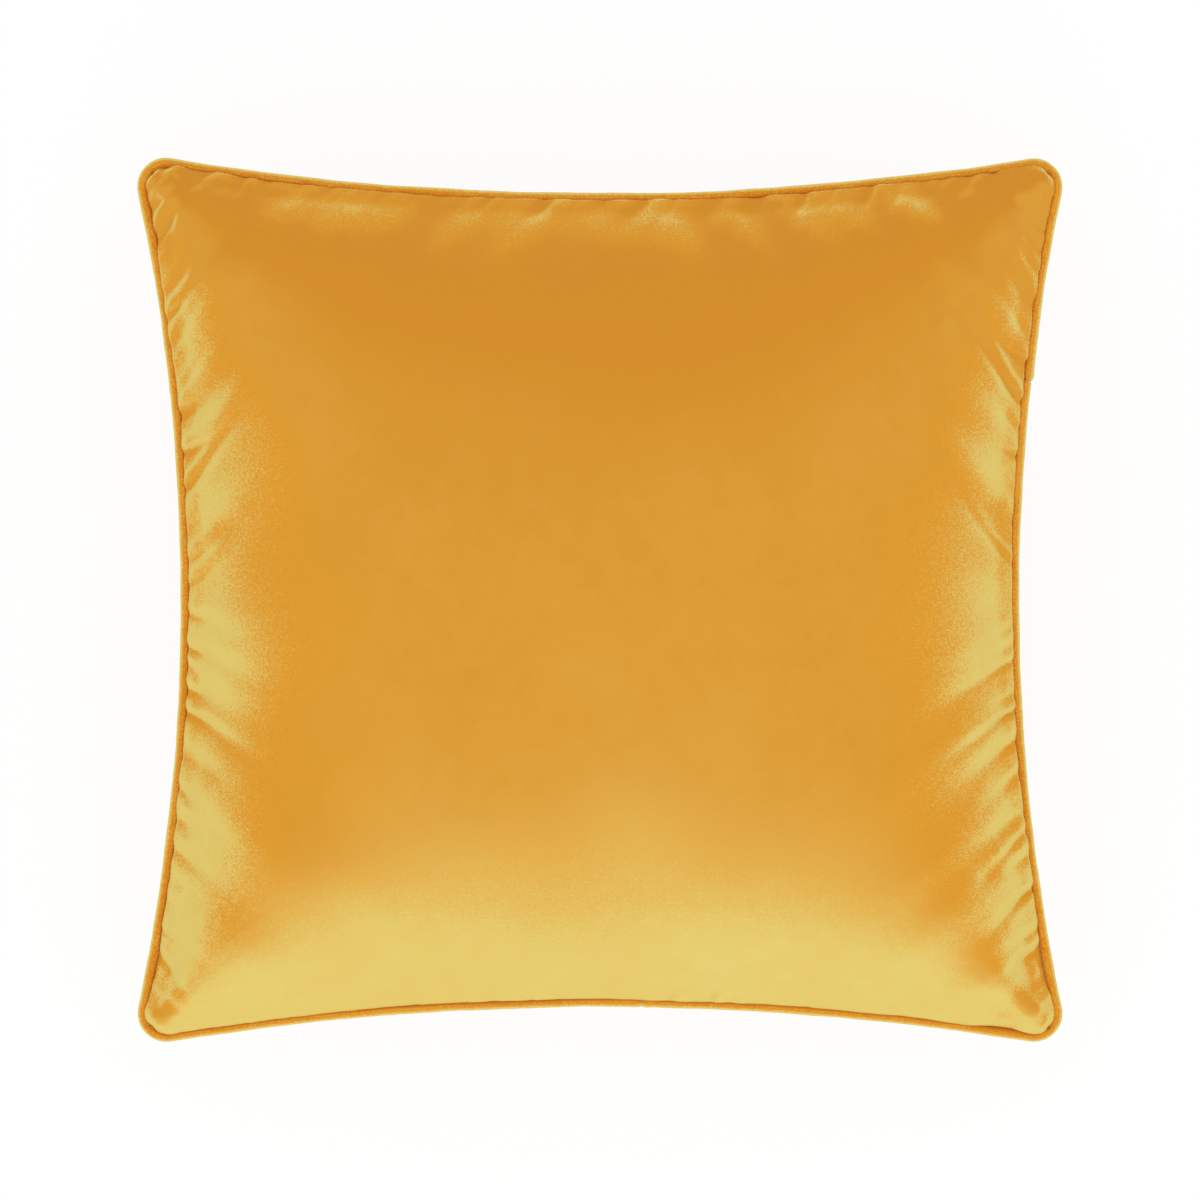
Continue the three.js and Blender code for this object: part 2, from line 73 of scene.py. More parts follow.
def meshPiece(name, points, faces, marks=None, edges=()):
    # marks are numbers at each point that a finish reads, such as where a velvet's painted sheen is held back
    mesh = bpy.data.meshes.new(name)
    mesh.from_pydata(np.asarray(points).reshape(-1, 3).tolist(), edges, faces)
    for label, values in (marks or {}).items():
        layer = mesh.attributes.new(label, "FLOAT", "POINT")
        layer.data.foreach_set("value", np.asarray(values, np.float32).ravel())
    mesh.shade_smooth()
    made = bpy.data.objects.new(name, mesh)
    bpy.context.scene.collection.objects.link(made)
    return made


def facesOut(piece):
    shell = bmesh.new()
    shell.from_mesh(piece.data)
    bmesh.ops.recalc_face_normals(shell, faces=shell.faces)
    shell.to_mesh(piece.data)
    shell.free()


def applied(piece):
    # the piece with its modifiers made real, as one plain mesh
    depsgraph = bpy.context.evaluated_depsgraph_get()
    mesh = bpy.data.meshes.new_from_object(piece.evaluated_get(depsgraph))
    piece.modifiers.clear()
    piece.data = mesh
    return piece


def painted(piece, finish):
    piece.data.materials.clear()
    piece.data.materials.append(finish.material)
    return piece


# Seam line: four pulled-in edges, each an arc about a centre outside the pillow, joined by round corners.
def edgeArc(halfAlong, halfAcross, pullIn):
    corner = pillow["cornerRadius"]
    offset = halfAlong - corner
    radius = (offset ** 2 + pullIn ** 2) / (2 * pullIn) - corner
    reach = halfAcross - pullIn
    halfAngle = math.atan2(offset, radius + corner - pullIn)
    return {"radius": radius, "centre": reach + radius, "halfAngle": halfAngle}


sideArc = edgeArc(pillow["halfLength"], pillow["halfWidth"], pillow["sidePullIn"])
endArc = edgeArc(pillow["halfWidth"], pillow["halfLength"], pillow["endPullIn"])


def quarterOutline(steps=400):
    # from the middle of the right edge to the middle of the top edge: x, y and the outward normal
    corner = pillow["cornerRadius"]
    t = np.linspace(0, sideArc["halfAngle"], steps)[:-1]
    side = [sideArc["centre"] - sideArc["radius"] * np.cos(t), sideArc["radius"] * np.sin(t),
            np.cos(t), -np.sin(t)]
    t = np.linspace(-sideArc["halfAngle"], math.pi / 2 + endArc["halfAngle"], steps)[:-1]
    tip = [pillow["halfWidth"] - corner + corner * np.cos(t),
           pillow["halfLength"] - corner + corner * np.sin(t), np.cos(t), np.sin(t)]
    t = np.linspace(endArc["halfAngle"], 0, steps)
    end = [endArc["radius"] * np.sin(t), endArc["centre"] - endArc["radius"] * np.cos(t),
           -np.sin(t), np.cos(t)]
    return np.concatenate([np.stack(part, 1) for part in (side, tip, end)])


def wholeOutline():
    quarter = quarterOutline()
    back = quarter[::-1]
    turns = [quarter, back * [-1, 1, -1, 1], quarter * [-1, -1, -1, -1], back * [1, -1, 1, -1]]
    return np.concatenate([part[:-1] for part in turns] + [quarter[:1]])


outline = wholeOutline()
outlineRun = np.concatenate([[0], np.cumsum(np.hypot(*np.diff(outline[:, :2], axis=0).T))])
outlineLength = outlineRun[-1]


def outlineAt(run):
    # points of the seam line, at distances counted counter-clockwise from the middle of the right edge
    run = np.mod(run, outlineLength)
    return np.stack([np.interp(run, outlineRun, outline[:, k]) for k in range(4)], -1)


def runAt(x, y):
    return outlineRun[np.argmin(np.hypot(outline[:, 0] - x, outline[:, 1] - y))]


def alongAndIn(arc, beside, towards):
    # a place along one edge and the distance in from it, for points given from the middle of the edge's arc
    return arc["radius"] * np.arctan2(beside, towards), np.hypot(towards, beside) - arc["radius"]


def edgePlaces(x, y):
    return {
        "right": alongAndIn(sideArc, y, sideArc["centre"] - x),
        "left": alongAndIn(sideArc, y, sideArc["centre"] + x),
        "top": alongAndIn(endArc, x, endArc["centre"] - y),
        "bottom": alongAndIn(endArc, x, endArc["centre"] + y),
    }


# Zip: its own frame, from the axes that the slider and its tab turn about. along is metres on the bottom
# edge, across is up the back's slope from the middle of the chain, and out is away from the tapes.
zipParts = {
    "half": 0.160,
    "tapeOverrun": 0.012,    # under the velvet at each end
    "openingPast": 0.0015,   # where the hem starts to close, past the zip's end
    "closing": 0.0080,       # length over which it closes
    "pivotLift": 0.0037,     # of the tab's pin over the tapes
    "gap": 0.0010,           # between the two coils, where the slider's web runs
    "seamFold": 0.0051,      # from the chain's middle to the fold at the seam
    "hem": 0.0046,           # from the chain's middle to the back panel's folded edge
    "velvetOver": 0.0018,    # height of the velvet over the tapes
    "tapeWidth": 0.009,
    "tapeThickness": 0.0005,
}
zipTurn = next(joint for joint in frame["joints"] if joint["name"] == "zip_travel")
tabTurn = next(joint for joint in frame["joints"] if joint["name"] == "pull_tab_flip")
zipCentreY = zipTurn["pos_m"][1]
zipTilt = math.atan2(tabTurn["axis"][2], math.hypot(tabTurn["axis"][0], tabTurn["axis"][1]))
chainRadius = (math.hypot(tabTurn["pos_m"][0], tabTurn["pos_m"][1] - zipCentreY)
               + zipParts["pivotLift"] * math.sin(zipTilt))
chainZ = tabTurn["pos_m"][2] + zipParts["pivotLift"] * math.cos(zipTilt)


def zipPoint(along, across, out):
    along, across, out = np.broadcast_arrays(along, across, out)
    angle = along / endArc["radius"]
    reach = chainRadius + across * math.cos(zipTilt) - out * math.sin(zipTilt)
    z = chainZ - across * math.sin(zipTilt) - out * math.cos(zipTilt)
    return np.stack([reach * np.sin(angle), zipCentreY + reach * np.cos(angle), z], -1)


# Panels. Each is a grid over the outline, blown up as cloth and then drawn finer.
panels = {
    "columns": 88,
    "rows": 84,
    "finer": 4,
    "edgeCrowding": 0.3,     # draws the grid together towards the seam
    "startShare": 0.94,      # of the full crown, before the cloth swells
    "frames": 20,
    "pressure": 40.0,
    "mass": 0.003,
    "mostMove": 0.022,
    "zipReach": 0.012,       # how far in from the seam the cloth is held beside the zip
    "zipSpare": 0.015,       # and how far past the zip's ends
    "wall": 0.0012,
    "gatherRoom": 0.0022,    # more of it under the gathers, which fade out this far in
    "gatherFade": 0.025,
    "hemFade": 0.010,        # how far in the back panel is drawn along with its hem
    "pressing": 0.0014,      # softness of the edge of the flat that it rests on
}


def crowded(t):
    crowding = panels["edgeCrowding"]
    return (1 - crowding) * t + crowding * (1 - np.cos(math.pi * t)) / 2


def crownShare(u, v):
    # the crown over the seam, from 0 at the seam to 1 in the middle
    a = np.clip(1 - np.abs(u) ** pillow["bluntness"], 1e-9, None)
    b = np.clip(1 - np.abs(v) ** pillow["bluntness"], 1e-9, None)
    q = pillow["cornerThinning"]
    return (a ** -q + b ** -q - 1) ** (-pillow["steepness"] / q)


def flatGrid(u, v):
    # the outline filled with a grid: u from the left edge to the right one, v from the bottom to the top
    corner = runAt(pillow["halfWidth"], pillow["halfLength"])
    half = outlineLength / 2
    bottom = outlineAt(half + corner + u * (half - 2 * corner))[:, :2]
    top = outlineAt(half - corner - u * (half - 2 * corner))[:, :2]
    left = outlineAt(half + corner - v * 2 * corner)[:, :2]
    right = outlineAt(v * 2 * corner - corner)[:, :2]
    u, v = u[None, :, None], v[:, None, None]
    across = (1 - v) * bottom[None] + v * top[None]
    up = (1 - u) * left[:, None] + u * right[:, None]
    low = (1 - u) * (1 - v) * bottom[0] + u * (1 - v) * bottom[-1]
    high = (1 - u) * v * top[0] + u * v * top[-1]
    return across + up - (low + high)


def startGrids():
    u = crowded(np.linspace(0, 1, panels["columns"] + 1))
    v = crowded(np.linspace(0, 1, panels["rows"] + 1))
    plan = flatGrid(u, v)
    share = crownShare(2 * u[None] - 1, 2 * v[:, None] - 1)
    share[[0, -1]] = 0
    share[:, [0, -1]] = 0
    front = np.dstack([plan, seamZ + frontCrown * share])
    back = np.dstack([plan, seamZ - pillow["backCrown"] * share])
    return front, back


def gridQuads(index):
    return np.stack([index[:-1, :-1], index[:-1, 1:], index[1:, 1:], index[1:, :-1]], -1).reshape(-1, 4)


def blownUp(front, back):
    # both panels as one closed body, sewn at the seam, swelling under pressure for a few frames
    rows, columns = front.shape[:2]
    index = np.arange(rows * columns).reshape(rows, columns)
    backIndex = index + rows * columns
    for edge in (np.s_[0], np.s_[-1], np.s_[:, 0], np.s_[:, -1]):
        backIndex[edge] = index[edge]
    points = np.concatenate([front.reshape(-1, 3), back.reshape(-1, 3)])
    inset = edgePlaces(points[:, 0], points[:, 1])["bottom"][1]
    onBack = points[:, 2] <= seamZ
    besideZip = np.abs(points[:, 0]) < zipParts["half"] + panels["zipSpare"]
    onZip = onBack & besideZip & (inset < panels["zipReach"])
    share = np.where(onZip, 1.0, panels["startShare"])
    points[:, 2] = seamZ + (points[:, 2] - seamZ) * share
    used, renumbered = np.unique(np.concatenate([index.ravel(), backIndex.ravel()]), return_inverse=True)
    quads = renumbered.reshape(2, rows, columns)
    faces = gridQuads(quads[0]).tolist() + gridQuads(quads[1])[:, ::-1].tolist()
    body = meshPiece("blown_up", points[used], faces)
    seam = [quads[0][0], quads[0][-1], quads[0][:, 0], quads[0][:, -1]]
    held = np.concatenate(seam + [np.flatnonzero(onZip[used])])
    body.vertex_groups.new(name="held").add(np.unique(held).tolist(), 1.0, "REPLACE")
    cloth = body.modifiers.new("Cloth", "CLOTH")
    cloth.settings.vertex_group_mass = "held"
    cloth.settings.quality = 6
    cloth.settings.mass = panels["mass"]
    cloth.settings.tension_stiffness = 25
    cloth.settings.compression_stiffness = 25
    cloth.settings.shear_stiffness = 8
    cloth.settings.bending_stiffness = 2
    cloth.settings.use_pressure = True
    cloth.settings.uniform_pressure_force = panels["pressure"]
    cloth.settings.effector_weights.gravity = 0
    cloth.collision_settings.use_collision = False
    scene = bpy.context.scene
    scene.frame_start = 1
    scene.frame_end = panels["frames"]
    for step in range(1, panels["frames"] + 1):
        scene.frame_set(step)
    swollen = body.evaluated_get(bpy.context.evaluated_depsgraph_get()).data
    after = np.zeros(len(used) * 3, np.float32)
    swollen.vertices.foreach_get("co", after)
    move = after.reshape(-1, 3) - points[used]
    far = np.linalg.norm(move, axis=1, keepdims=True)
    print("cloth moved up to", round(float(far.max()) * 1000, 1), "mm")
    points = points[used] + move * np.minimum(1, panels["mostMove"] / np.maximum(far, 1e-9))
    bpy.data.objects.remove(body)
    scene.frame_set(1)
    return points[quads[0]], points[quads[1]]


def cubicDown(grid, t):
    # the grid drawn again at places t (0 to 1 down its rows, for each column), through smooth curves
    last = len(grid) - 1
    padded = np.concatenate([2 * grid[:1] - grid[1:2], grid, 2 * grid[-1:] - grid[-2:-1]])
    place = np.clip(t, 0, 1) * last
    low = np.minimum(place.astype(int), last - 1)
    f = (place - low)[..., None]
    p0, p1, p2, p3 = (padded[low + k, np.arange(grid.shape[1])] for k in range(4))
    bend = (2 * p0 - 5 * p1 + 4 * p2 - p3) + (3 * p1 - p0 - 3 * p2 + p3) * f
    return p1 + 0.5 * f * ((p2 - p0) + f * bend)


def finer(grid, firstRow=None):
    # more rows and columns; firstRow says, for each fine column, where down the grid the panel starts
    rows, columns = (n * panels["finer"] for n in (panels["rows"], panels["columns"]))
    across = np.linspace(0, 1, columns + 1)[:, None]
    wide = cubicDown(grid.transpose(1, 0, 2), np.repeat(across, grid.shape[0], 1)).transpose(1, 0, 2)
    down = np.linspace(0, 1, rows + 1)[:, None]
    start = np.zeros(columns + 1) if firstRow is None else firstRow
    return cubicDown(wide, start + (1 - start) * down)


def gridNormals(grid, outward):
    across = np.gradient(grid, axis=1)
    up = np.gradient(grid, axis=0)
    normal = np.cross(across, up) * outward
    return normal / np.maximum(np.linalg.norm(normal, axis=2, keepdims=True), 1e-12)


# Gathers: the short slanted puckers that the seam draws in the velvet. lean is how far a gather drifts along
# its edge for each metre that it runs in, on either side of the edge's middle.
gathers = {
    "front": {
        "seed": 11,
        "spacing": 0.0115,
        "width": (0.0013, 0.0036),
        "edges": {
            "top": {"lean": (-1.0, -1.0), "length": (0.005, 0.012), "depth": (0.0003, 0.0016)},
            "left": {"lean": (-0.7, 0.9), "length": (0.008, 0.026), "depth": (0.0004, 0.0026)},
            "right": {"lean": (-0.7, 0.9), "length": (0.008, 0.024), "depth": (0.0004, 0.0024)},
            "bottom": {"lean": (-0.5, 0.5), "length": (0.004, 0.009), "depth": (0.0001, 0.0007)},
        },
    },
    "back": {
        "seed": 23,
        "spacing": 0.0125,
        "width": (0.0013, 0.0034),
        "edges": {
            "top": {"lean": (0.8, 0.8), "length": (0.006, 0.018), "depth": (0.0003, 0.0018)},
            "left": {"lean": (-0.8, 0.8), "length": (0.006, 0.022), "depth": (0.0003, 0.0022)},
            "right": {"lean": (-0.8, 0.8), "length": (0.006, 0.022), "depth": (0.0003, 0.0022)},
            "bottom": {"lean": (-0.4, 0.4), "length": (0.003, 0.006), "depth": (0.0001, 0.0004)},
        },
    },
}
waves = {
    "edgeDepth": 0.0008,     # of the broad waves that run in from the seam
    "edgeReach": 0.045,
    "edgeLength": (0.018, 0.055),
    "edgeFan": 0.6,          # how far they spread from the edge's middle, for each metre in
    "openDepth": 0.0004,     # of the faint unevenness of the filling
    "openLength": (0.07, 0.16),
    "roll": 0.0024,          # how far the velvet swells out over the piping beside the seam
    "rollReach": 0.0045,
    "rollStart": 0.0009,     # how near the seam it has swollen
    "rollUneven": 0.07,
    "tabRoom": (0.180, 0.192),    # no such roll on the zip's edge, out to where the pull tab lies
    "tipRoom": (0.0035, 0.012),   # plainer near each corner's tip, growing to full relief
    "tipShare": 0.45,
}
# Where the velvet's painted sheen is held back: more keeps the deep colour, less lets the pale painted sheen
# show.
sheenHolding = {
    "open": 0.15,            # of broad, faint patches
    "openLength": (0.05, 0.14),
    "wave": 0.35,            # on the broad waves beside the seam
    "head": 0.85,            # painted shade: less painted sheen towards the top of a panel
    "headReach": (0.0, 0.17),
    "foot": 0.55,            # more painted sheen towards its bottom corners
    "footDown": (0.05, 0.18),
    "footOut": (0.05, 0.15),
    # less painted sheen towards the right side
    "right": 0.25,
    "rightReach": (0.10, 0.20),
    "dent": 160.0,           # painted sheen held back in a dent, for each metre of its depth
    "fold": 6.0,             # keeps painted sheen off the cloth that turns in at the seam, so it stays deep in colour
    "foldReach": 0.0012,
}
# Dents where the corners' filling gives way: which corner, how far in from its tip along X and Y, radius and
# depth.
dents = {
    "front": [
        (1, -1, 0.012, 0.034, 0.012, 0.0030),
        (1, -1, 0.021, 0.007, 0.010, 0.0022),
        (1, -1, 0.033, 0.078, 0.007, 0.0012),
        (-1, -1, 0.010, 0.036, 0.011, 0.0020),
        (-1, -1, 0.009, 0.008, 0.008, 0.0016),
        (1, 1, 0.016, 0.022, 0.012, 0.0014),
        (-1, 1, 0.014, 0.030, 0.012, 0.0012),
    ],
    "back": [
        (1, 1, 0.018, 0.022, 0.012, 0.0020),
        (-1, -1, 0.016, 0.026, 0.012, 0.0020),
    ],
}

# Patches where the painted sheen is held back, which keeps the velvet deep in colour: place, radius,
# strength.
sheenHoldPatches = {
    "front": [
        (-0.200, 0.195, 0.026, 0.7),
        (0.207, 0.196, 0.026, 1.0),
        (0.196, 0.120, 0.014, 0.6),
        (0.190, 0.020, 0.012, 0.5),
        (-0.187, 0.033, 0.009, 0.9),
        (-0.190, -0.085, 0.008, 0.7),
    ],
    "back": [
        (-0.200, 0.180, 0.030, 0.8),
        (0.200, -0.190, 0.026, 0.8),
    ],
}


def gatherMarks(along, inward, settings, random):
    # one edge's gathers, as height and as a mark that holds painted sheen back in the crease: a crease beside
    # a soft roll, dying out from the seam
    inward = np.maximum(inward, 0)   # the seam itself can come out a hair outside its own line
    half = outlineLength / 8
    places = np.arange(-half, half, settings["spacing"])
    places = places + random.uniform(-0.45, 0.45, len(places)) * settings["spacing"]
    height, sheenHoldMark = np.zeros_like(along), np.zeros_like(along)
    for place in places:
        lean = settings["lean"][int(place > 0)] * random.uniform(0.4, 1.3)
        length = random.uniform(*settings["length"])
        width = random.uniform(*settings["width"])
        low, high = settings["depth"]
        strength = random.uniform(0, 1) ** 1.6
        near = (np.abs(along - place) < 0.06) & (inward < 3 * length)
        off = (along[near] - place - lean * inward[near]) / (width * (1 + inward[near] / length))
        crease = np.exp(-off ** 2)
        roll = 0.75 * np.exp(-((off - 1.9) / 1.3) ** 2)
        fade = (0.3 + 0.7 * smooth(0.0, 0.004, inward[near])) * np.exp(-(inward[near] / length) ** 1.6)
        height[near] += (low + (high - low) * strength) * (roll - crease) * fade
        sheenHoldMark[near] += strength * (crease - 0.3 * roll) * fade
    return height, sheenHoldMark


def broadWaves(x, y, lengths, random, count=14):
    total = np.zeros_like(x)
    for _ in range(count):
        angle, phase = random.uniform(0, 2 * math.pi, 2)
        step = 2 * math.pi / random.uniform(*lengths)
        total += np.sin((x * math.cos(angle) + y * math.sin(angle)) * step + phase)
    return total / math.sqrt(count)


def relief(plan, which):
    # how far each point of a panel stands out from its smooth shape, and how much painted sheen is held back
    # there
    settings = gathers[which]
    random = np.random.default_rng(settings["seed"])
    x, y = plan[..., 0], plan[..., 1]
    height = waves["openDepth"] * broadWaves(x, y, waves["openLength"], random)
    sheenHoldMark = sheenHolding["open"] * broadWaves(x, y, sheenHolding["openLength"], random, 20)
    nearest, rolled = np.full_like(x, 1.0), np.zeros_like(x)
    for name, (along, inward) in edgePlaces(x, y).items():
        edge = {**settings["edges"][name], "spacing": settings["spacing"], "width": settings["width"]}
        edgeHeight, edgeBrush = gatherMarks(along, inward, edge, random)
        fanned = along - waves["edgeFan"] * inward * np.tanh(along / 0.04)
        ripple = broadWaves(fanned, 0 * along, waves["edgeLength"], random, 8)
        reach = waves["edgeReach"]
        fade = smooth(0, 0.3 * reach, inward) * np.exp(-(inward / reach) ** 2)
        height += edgeHeight + waves["edgeDepth"] * ripple * fade
        sheenHoldMark += edgeBrush - sheenHolding["wave"] * ripple * fade
        beside = np.exp(-(inward / waves["rollReach"]) ** 2)
        if which == "back" and name == "bottom":
            beside *= smooth(*waves["tabRoom"], np.abs(x))
        rolled = np.maximum(rolled, waves["roll"] * (1 + waves["rollUneven"] * ripple) * beside)
        nearest = np.minimum(nearest, inward)
    height += rolled
    for sideX, sideY, inX, inY, radius, depth in dents[which]:
        tipX, tipY = sideX * (pillow["halfWidth"] - inX), sideY * (pillow["halfLength"] - inY)
        dent = np.exp(-((x - tipX) ** 2 + (y - tipY) ** 2) / radius ** 2)
        height -= depth * dent
        sheenHoldMark += sheenHolding["dent"] * depth * dent
    for patchX, patchY, radius, strength in sheenHoldPatches[which]:
        sheenHoldMark += strength * np.exp(-((x - patchX) ** 2 + (y - patchY) ** 2) / radius ** 2)
    sheenHoldMark += sheenHolding["fold"] * np.exp(-(nearest / sheenHolding["foldReach"]) ** 2)
    sheenHoldMark += sheenHolding["head"] * smooth(*sheenHolding["headReach"], y)
    sheenHoldMark -= sheenHolding["foot"] * smooth(*sheenHolding["footDown"], -y) * smooth(*sheenHolding["footOut"], np.abs(x))
    sheenHoldMark += sheenHolding["right"] * smooth(*sheenHolding["rightReach"], x)
    fromTip = np.hypot(pillow["halfWidth"] - np.abs(x), pillow["halfLength"] - np.abs(y))
    tip = waves["tipShare"] + (1 - waves["tipShare"]) * smooth(*waves["tipRoom"], fromTip)
    return height * smooth(0, waves["rollStart"], nearest) * tip, sheenHoldMark


def loopOf(index):
    # the border of a grid of indices, counter-clockwise from its first corner
    return np.concatenate([index[0, :-1], index[:-1, -1], index[-1, :0:-1], index[:0:-1, 0]])


def hemShare(x, y):
    # 1 along the zip, where the back panel ends in a hem, and 0 where it ends in the seam
    opening = zipParts["half"] + zipParts["openingPast"]
    return np.where(y < 0, 1 - smooth(opening, opening + zipParts["closing"], np.abs(x)), 0.0)


# The turned-in cloth, loop by loop from a panel's border: how far in from the seam and how far off its level,
# and along the zip how far past the hem and how far out from the tape.
turnedIn = {
    "seam": [(0.0002, 0.00095), (0.0006, 0.00087), (0.010, 0.00087), (0.010, 0.0015), (0.0016, 0.0016)],
    "hem": [(0.0002, 0.0009), (0.0006, 0.00015), (0.008, 0.00015), (0.008, 0.0005), (0.0012, 0.0005)],
}


def borderLoops(border, side):
    # seam allowance at the seam, a hem's underside along the zip
    runs = np.array([runAt(x, y) for x, y in border[:, :2]])
    place = outlineAt(runs)
    hem = hemShare(border[:, 0], border[:, 1]) if side < 0 else np.zeros(len(border))
    along = endArc["radius"] * np.arctan2(border[:, 0], border[:, 1] - zipCentreY)
    loops = []
    for (inward, height), (under, out) in zip(turnedIn["seam"], turnedIn["hem"]):
        level = np.full(len(runs), seamZ + side * height)
        seam = np.column_stack([place[:, :2] - place[:, 2:] * inward, level])
        folded = zipPoint(along, zipParts["hem"] + under, out)
        loops.append(seam + (folded - seam) * hem[:, None])
    return loops


def insideWall(grid, side):
    # the cloth's inner face, plainer than the outer one and deeper beside the seam, clear of the gathers
    inward = np.min([place[1] for place in edgePlaces(grid[..., 0], grid[..., 1]).values()], axis=0)
    depth = panels["wall"] + panels["gatherRoom"] * np.exp(-(inward / panels["gatherFade"]) ** 2)
    return (grid - gridNormals(grid, side) * depth[..., None])[::panels["finer"], ::panels["finer"]]


def panelShell(name, grid, side, sheenHoldMark):
    # the velvet as a closed shell: the fine face, its turned-in border, and a plainer inside wall
    rows, columns = grid.shape[:2]
    step = panels["finer"]
    inside = insideWall(grid, side)
    index = np.arange(rows * columns).reshape(rows, columns)
    border = loopOf(index)
    turned = borderLoops(grid.reshape(-1, 3)[border], side)
    loops = [border] + [rows * columns + k * len(border) + np.arange(len(border)) for k in range(len(turned))]
    insideStart = rows * columns + len(turned) * len(border)
    insideIndex = insideStart + np.arange(inside.shape[0] * inside.shape[1]).reshape(inside.shape[:2])
    insideBorder = loopOf(insideIndex)
    faces = gridQuads(index).tolist() + gridQuads(insideIndex)[:, ::-1].tolist()
    for near, far in zip(loops, loops[1:]):
        faces += np.stack([near, far, np.roll(far, -1), np.roll(near, -1)], 1).tolist()
    last = loops[-1]
    for k in range(len(insideBorder)):
        fine = [last[(k * step + j) % len(last)] for j in range(step + 1)]
        faces.append([insideBorder[k], insideBorder[(k + 1) % len(insideBorder)]] + fine[::-1])
    points = np.concatenate([grid.reshape(-1, 3), *turned, inside.reshape(-1, 3)])
    marks = np.concatenate([sheenHoldMark.ravel(), np.full(len(points) - sheenHoldMark.size, sheenHolding["fold"])])
    shell = meshPiece(name, points, faces, {"sheenHoldMark": marks})
    facesOut(shell)
    return shell


def frontGrid(grid):
    fine = finer(grid)
    fine[..., 2] = seamZ + (fine[..., 2] - seamZ) * frontCrown / (fine[..., 2].max() - seamZ)
    fine[..., 2] += pillow["seamRise"]
    height, sheenHoldMark = relief(fine, "front")
    return fine + gridNormals(fine, 1) * height[..., None], sheenHoldMark


def backGrid(grid):
    scaled = grid.copy()
    scaled[..., 2] = seamZ - (seamZ - grid[..., 2]) * pillow["backCrown"] / (seamZ - grid[..., 2].min())
    scaled[..., 2] -= pillow["seamRise"]
    whole = finer(scaled)
    inward = edgePlaces(whole[..., 0], whole[..., 1])["bottom"][1]
    hemAlong = endArc["radius"] * np.arctan2(whole[0, :, 0], whole[0, :, 1] - zipCentreY)
    hemLine = zipPoint(hemAlong, zipParts["hem"], zipParts["velvetOver"])
    hemInset = np.hypot(hemLine[:, 0], hemLine[:, 1] - zipCentreY) - endArc["radius"]
    hem = hemShare(whole[0, :, 0], whole[0, :, 1])
    rows = np.linspace(0, 1, len(whole))
    firstRow = np.array([np.interp(hemInset[k] * hem[k], inward[:, k], rows) for k in range(len(hem))])
    fine = finer(scaled, firstRow)
    height, sheenHoldMark = relief(fine, "back")
    fine = fine + gridNormals(fine, -1) * height[..., None]
    lift = restZ - fine[..., 2]
    fine[..., 2] = restZ + panels["pressing"] * np.logaddexp(0, -lift / panels["pressing"])
    edgeAlong = endArc["radius"] * np.arctan2(fine[0, :, 0], fine[0, :, 1] - zipCentreY)
    shift = (zipPoint(edgeAlong, zipParts["hem"], zipParts["velvetOver"]) - fine[0]) * hem[:, None]
    away = np.linalg.norm(fine - fine[:1], axis=2)
    return fine + shift[None] * np.exp(-(away / panels["hemFade"]) ** 2)[..., None], sheenHoldMark


def panelGrids():
    front, back = startGrids()
    front, back = blownUp(front, back)
    return front, back


frontCoarse, backCoarse = panelGrids()
frontFine, frontSheenHold = frontGrid(frontCoarse)
backFine, backSheenHold = backGrid(backCoarse)
frontPanel = panelShell("velvet_front_panel", frontFine, 1, frontSheenHold)
backPanel = panelShell("velvet_back_panel", backFine, -1, backSheenHold)
print("velvet panels made:", len(frontPanel.data.polygons) + len(backPanel.data.polygons), "faces")


# Piping: a bias strip of the same velvet round a twisted cord.
piping = {
    "radius": 0.0025,
    "cloth": 0.0007,
    "flange": 0.008,
    "throat": 0.00085,       # half the thickness of both edges where they leave the tube
    "slit": 0.00015,         # half the gap between the two edges
    "step": 0.0015,          # between sections
    "wander": 0.00018,       # how far the tube strays from a true line
    "closingX": 0.020,       # join on the bottom edge
    "stripY": 0.108,         # join on the right edge
    "joinGap": 0.00003,
    "joinStep": 0.0008,      # the long strip starts this much further out than the short one ends
    "stepReach": 0.030,
    "biasRipple": 0.0085,    # between the slanted ripples that a strip cut on the bias shows
    "cordRadius": 0.0015,
    "twist": 0.014,          # the cord's lay
}


def tubeSection():
    # outwards and up from the seam line: the tube, and its two edges lying flat between the panels
    radius, throat, slit = piping["radius"], piping["throat"], piping["slit"]
    hollow = radius - piping["cloth"]
    opening = math.asin(throat / radius)
    outer = np.linspace(math.pi - opening, opening - math.pi, 19)
    inner = np.linspace(math.pi - 0.1, 0.1 - math.pi, 11)
    outside = np.column_stack([radius + radius * np.cos(outer), radius * np.sin(outer)])
    inside = np.column_stack([radius + hollow * np.cos(inner), hollow * np.sin(inner)])[::-1]
    flange = -piping["flange"]
    return np.concatenate([[[flange, throat]], outside, [[flange, -throat], [flange, -slit]], inside,
                           [[flange, slit]]])


def sweptPiece(name, runs, sections, closed=False):
    # sections, one for each run along the seam line, joined into a tube
    place = outlineAt(runs)
    points = np.empty((*sections.shape[:2], 3))
    points[..., :2] = place[:, None, :2] + place[:, None, 2:] * sections[..., :1]
    points[..., 2] = seamZ + sections[..., 1]
    count, around = sections.shape[:2]
    index = np.arange(count * around).reshape(count, around)
    if closed:
        index = np.concatenate([index, index[:1]])
    index = np.concatenate([index, index[:, :1]], 1)
    faces = gridQuads(index).tolist()
    if not closed:
        faces += [index[0, :-1].tolist(), index[-1, :-1].tolist()[::-1]]
    outward = (sections[..., 0] - piping["radius"]) / piping["radius"]
    made = meshPiece(name, points, faces, {"outward": outward})
    facesOut(made)
    return made


def wandering(runs, lengths, seed, count=9):
    random = np.random.default_rng(seed)
    total = np.zeros_like(runs)
    for _ in range(count):
        turns = max(1, round(outlineLength / random.uniform(*lengths)))
        total += np.sin(2 * math.pi * turns * runs / outlineLength + random.uniform(0, 2 * math.pi))
    return total / math.sqrt(count)


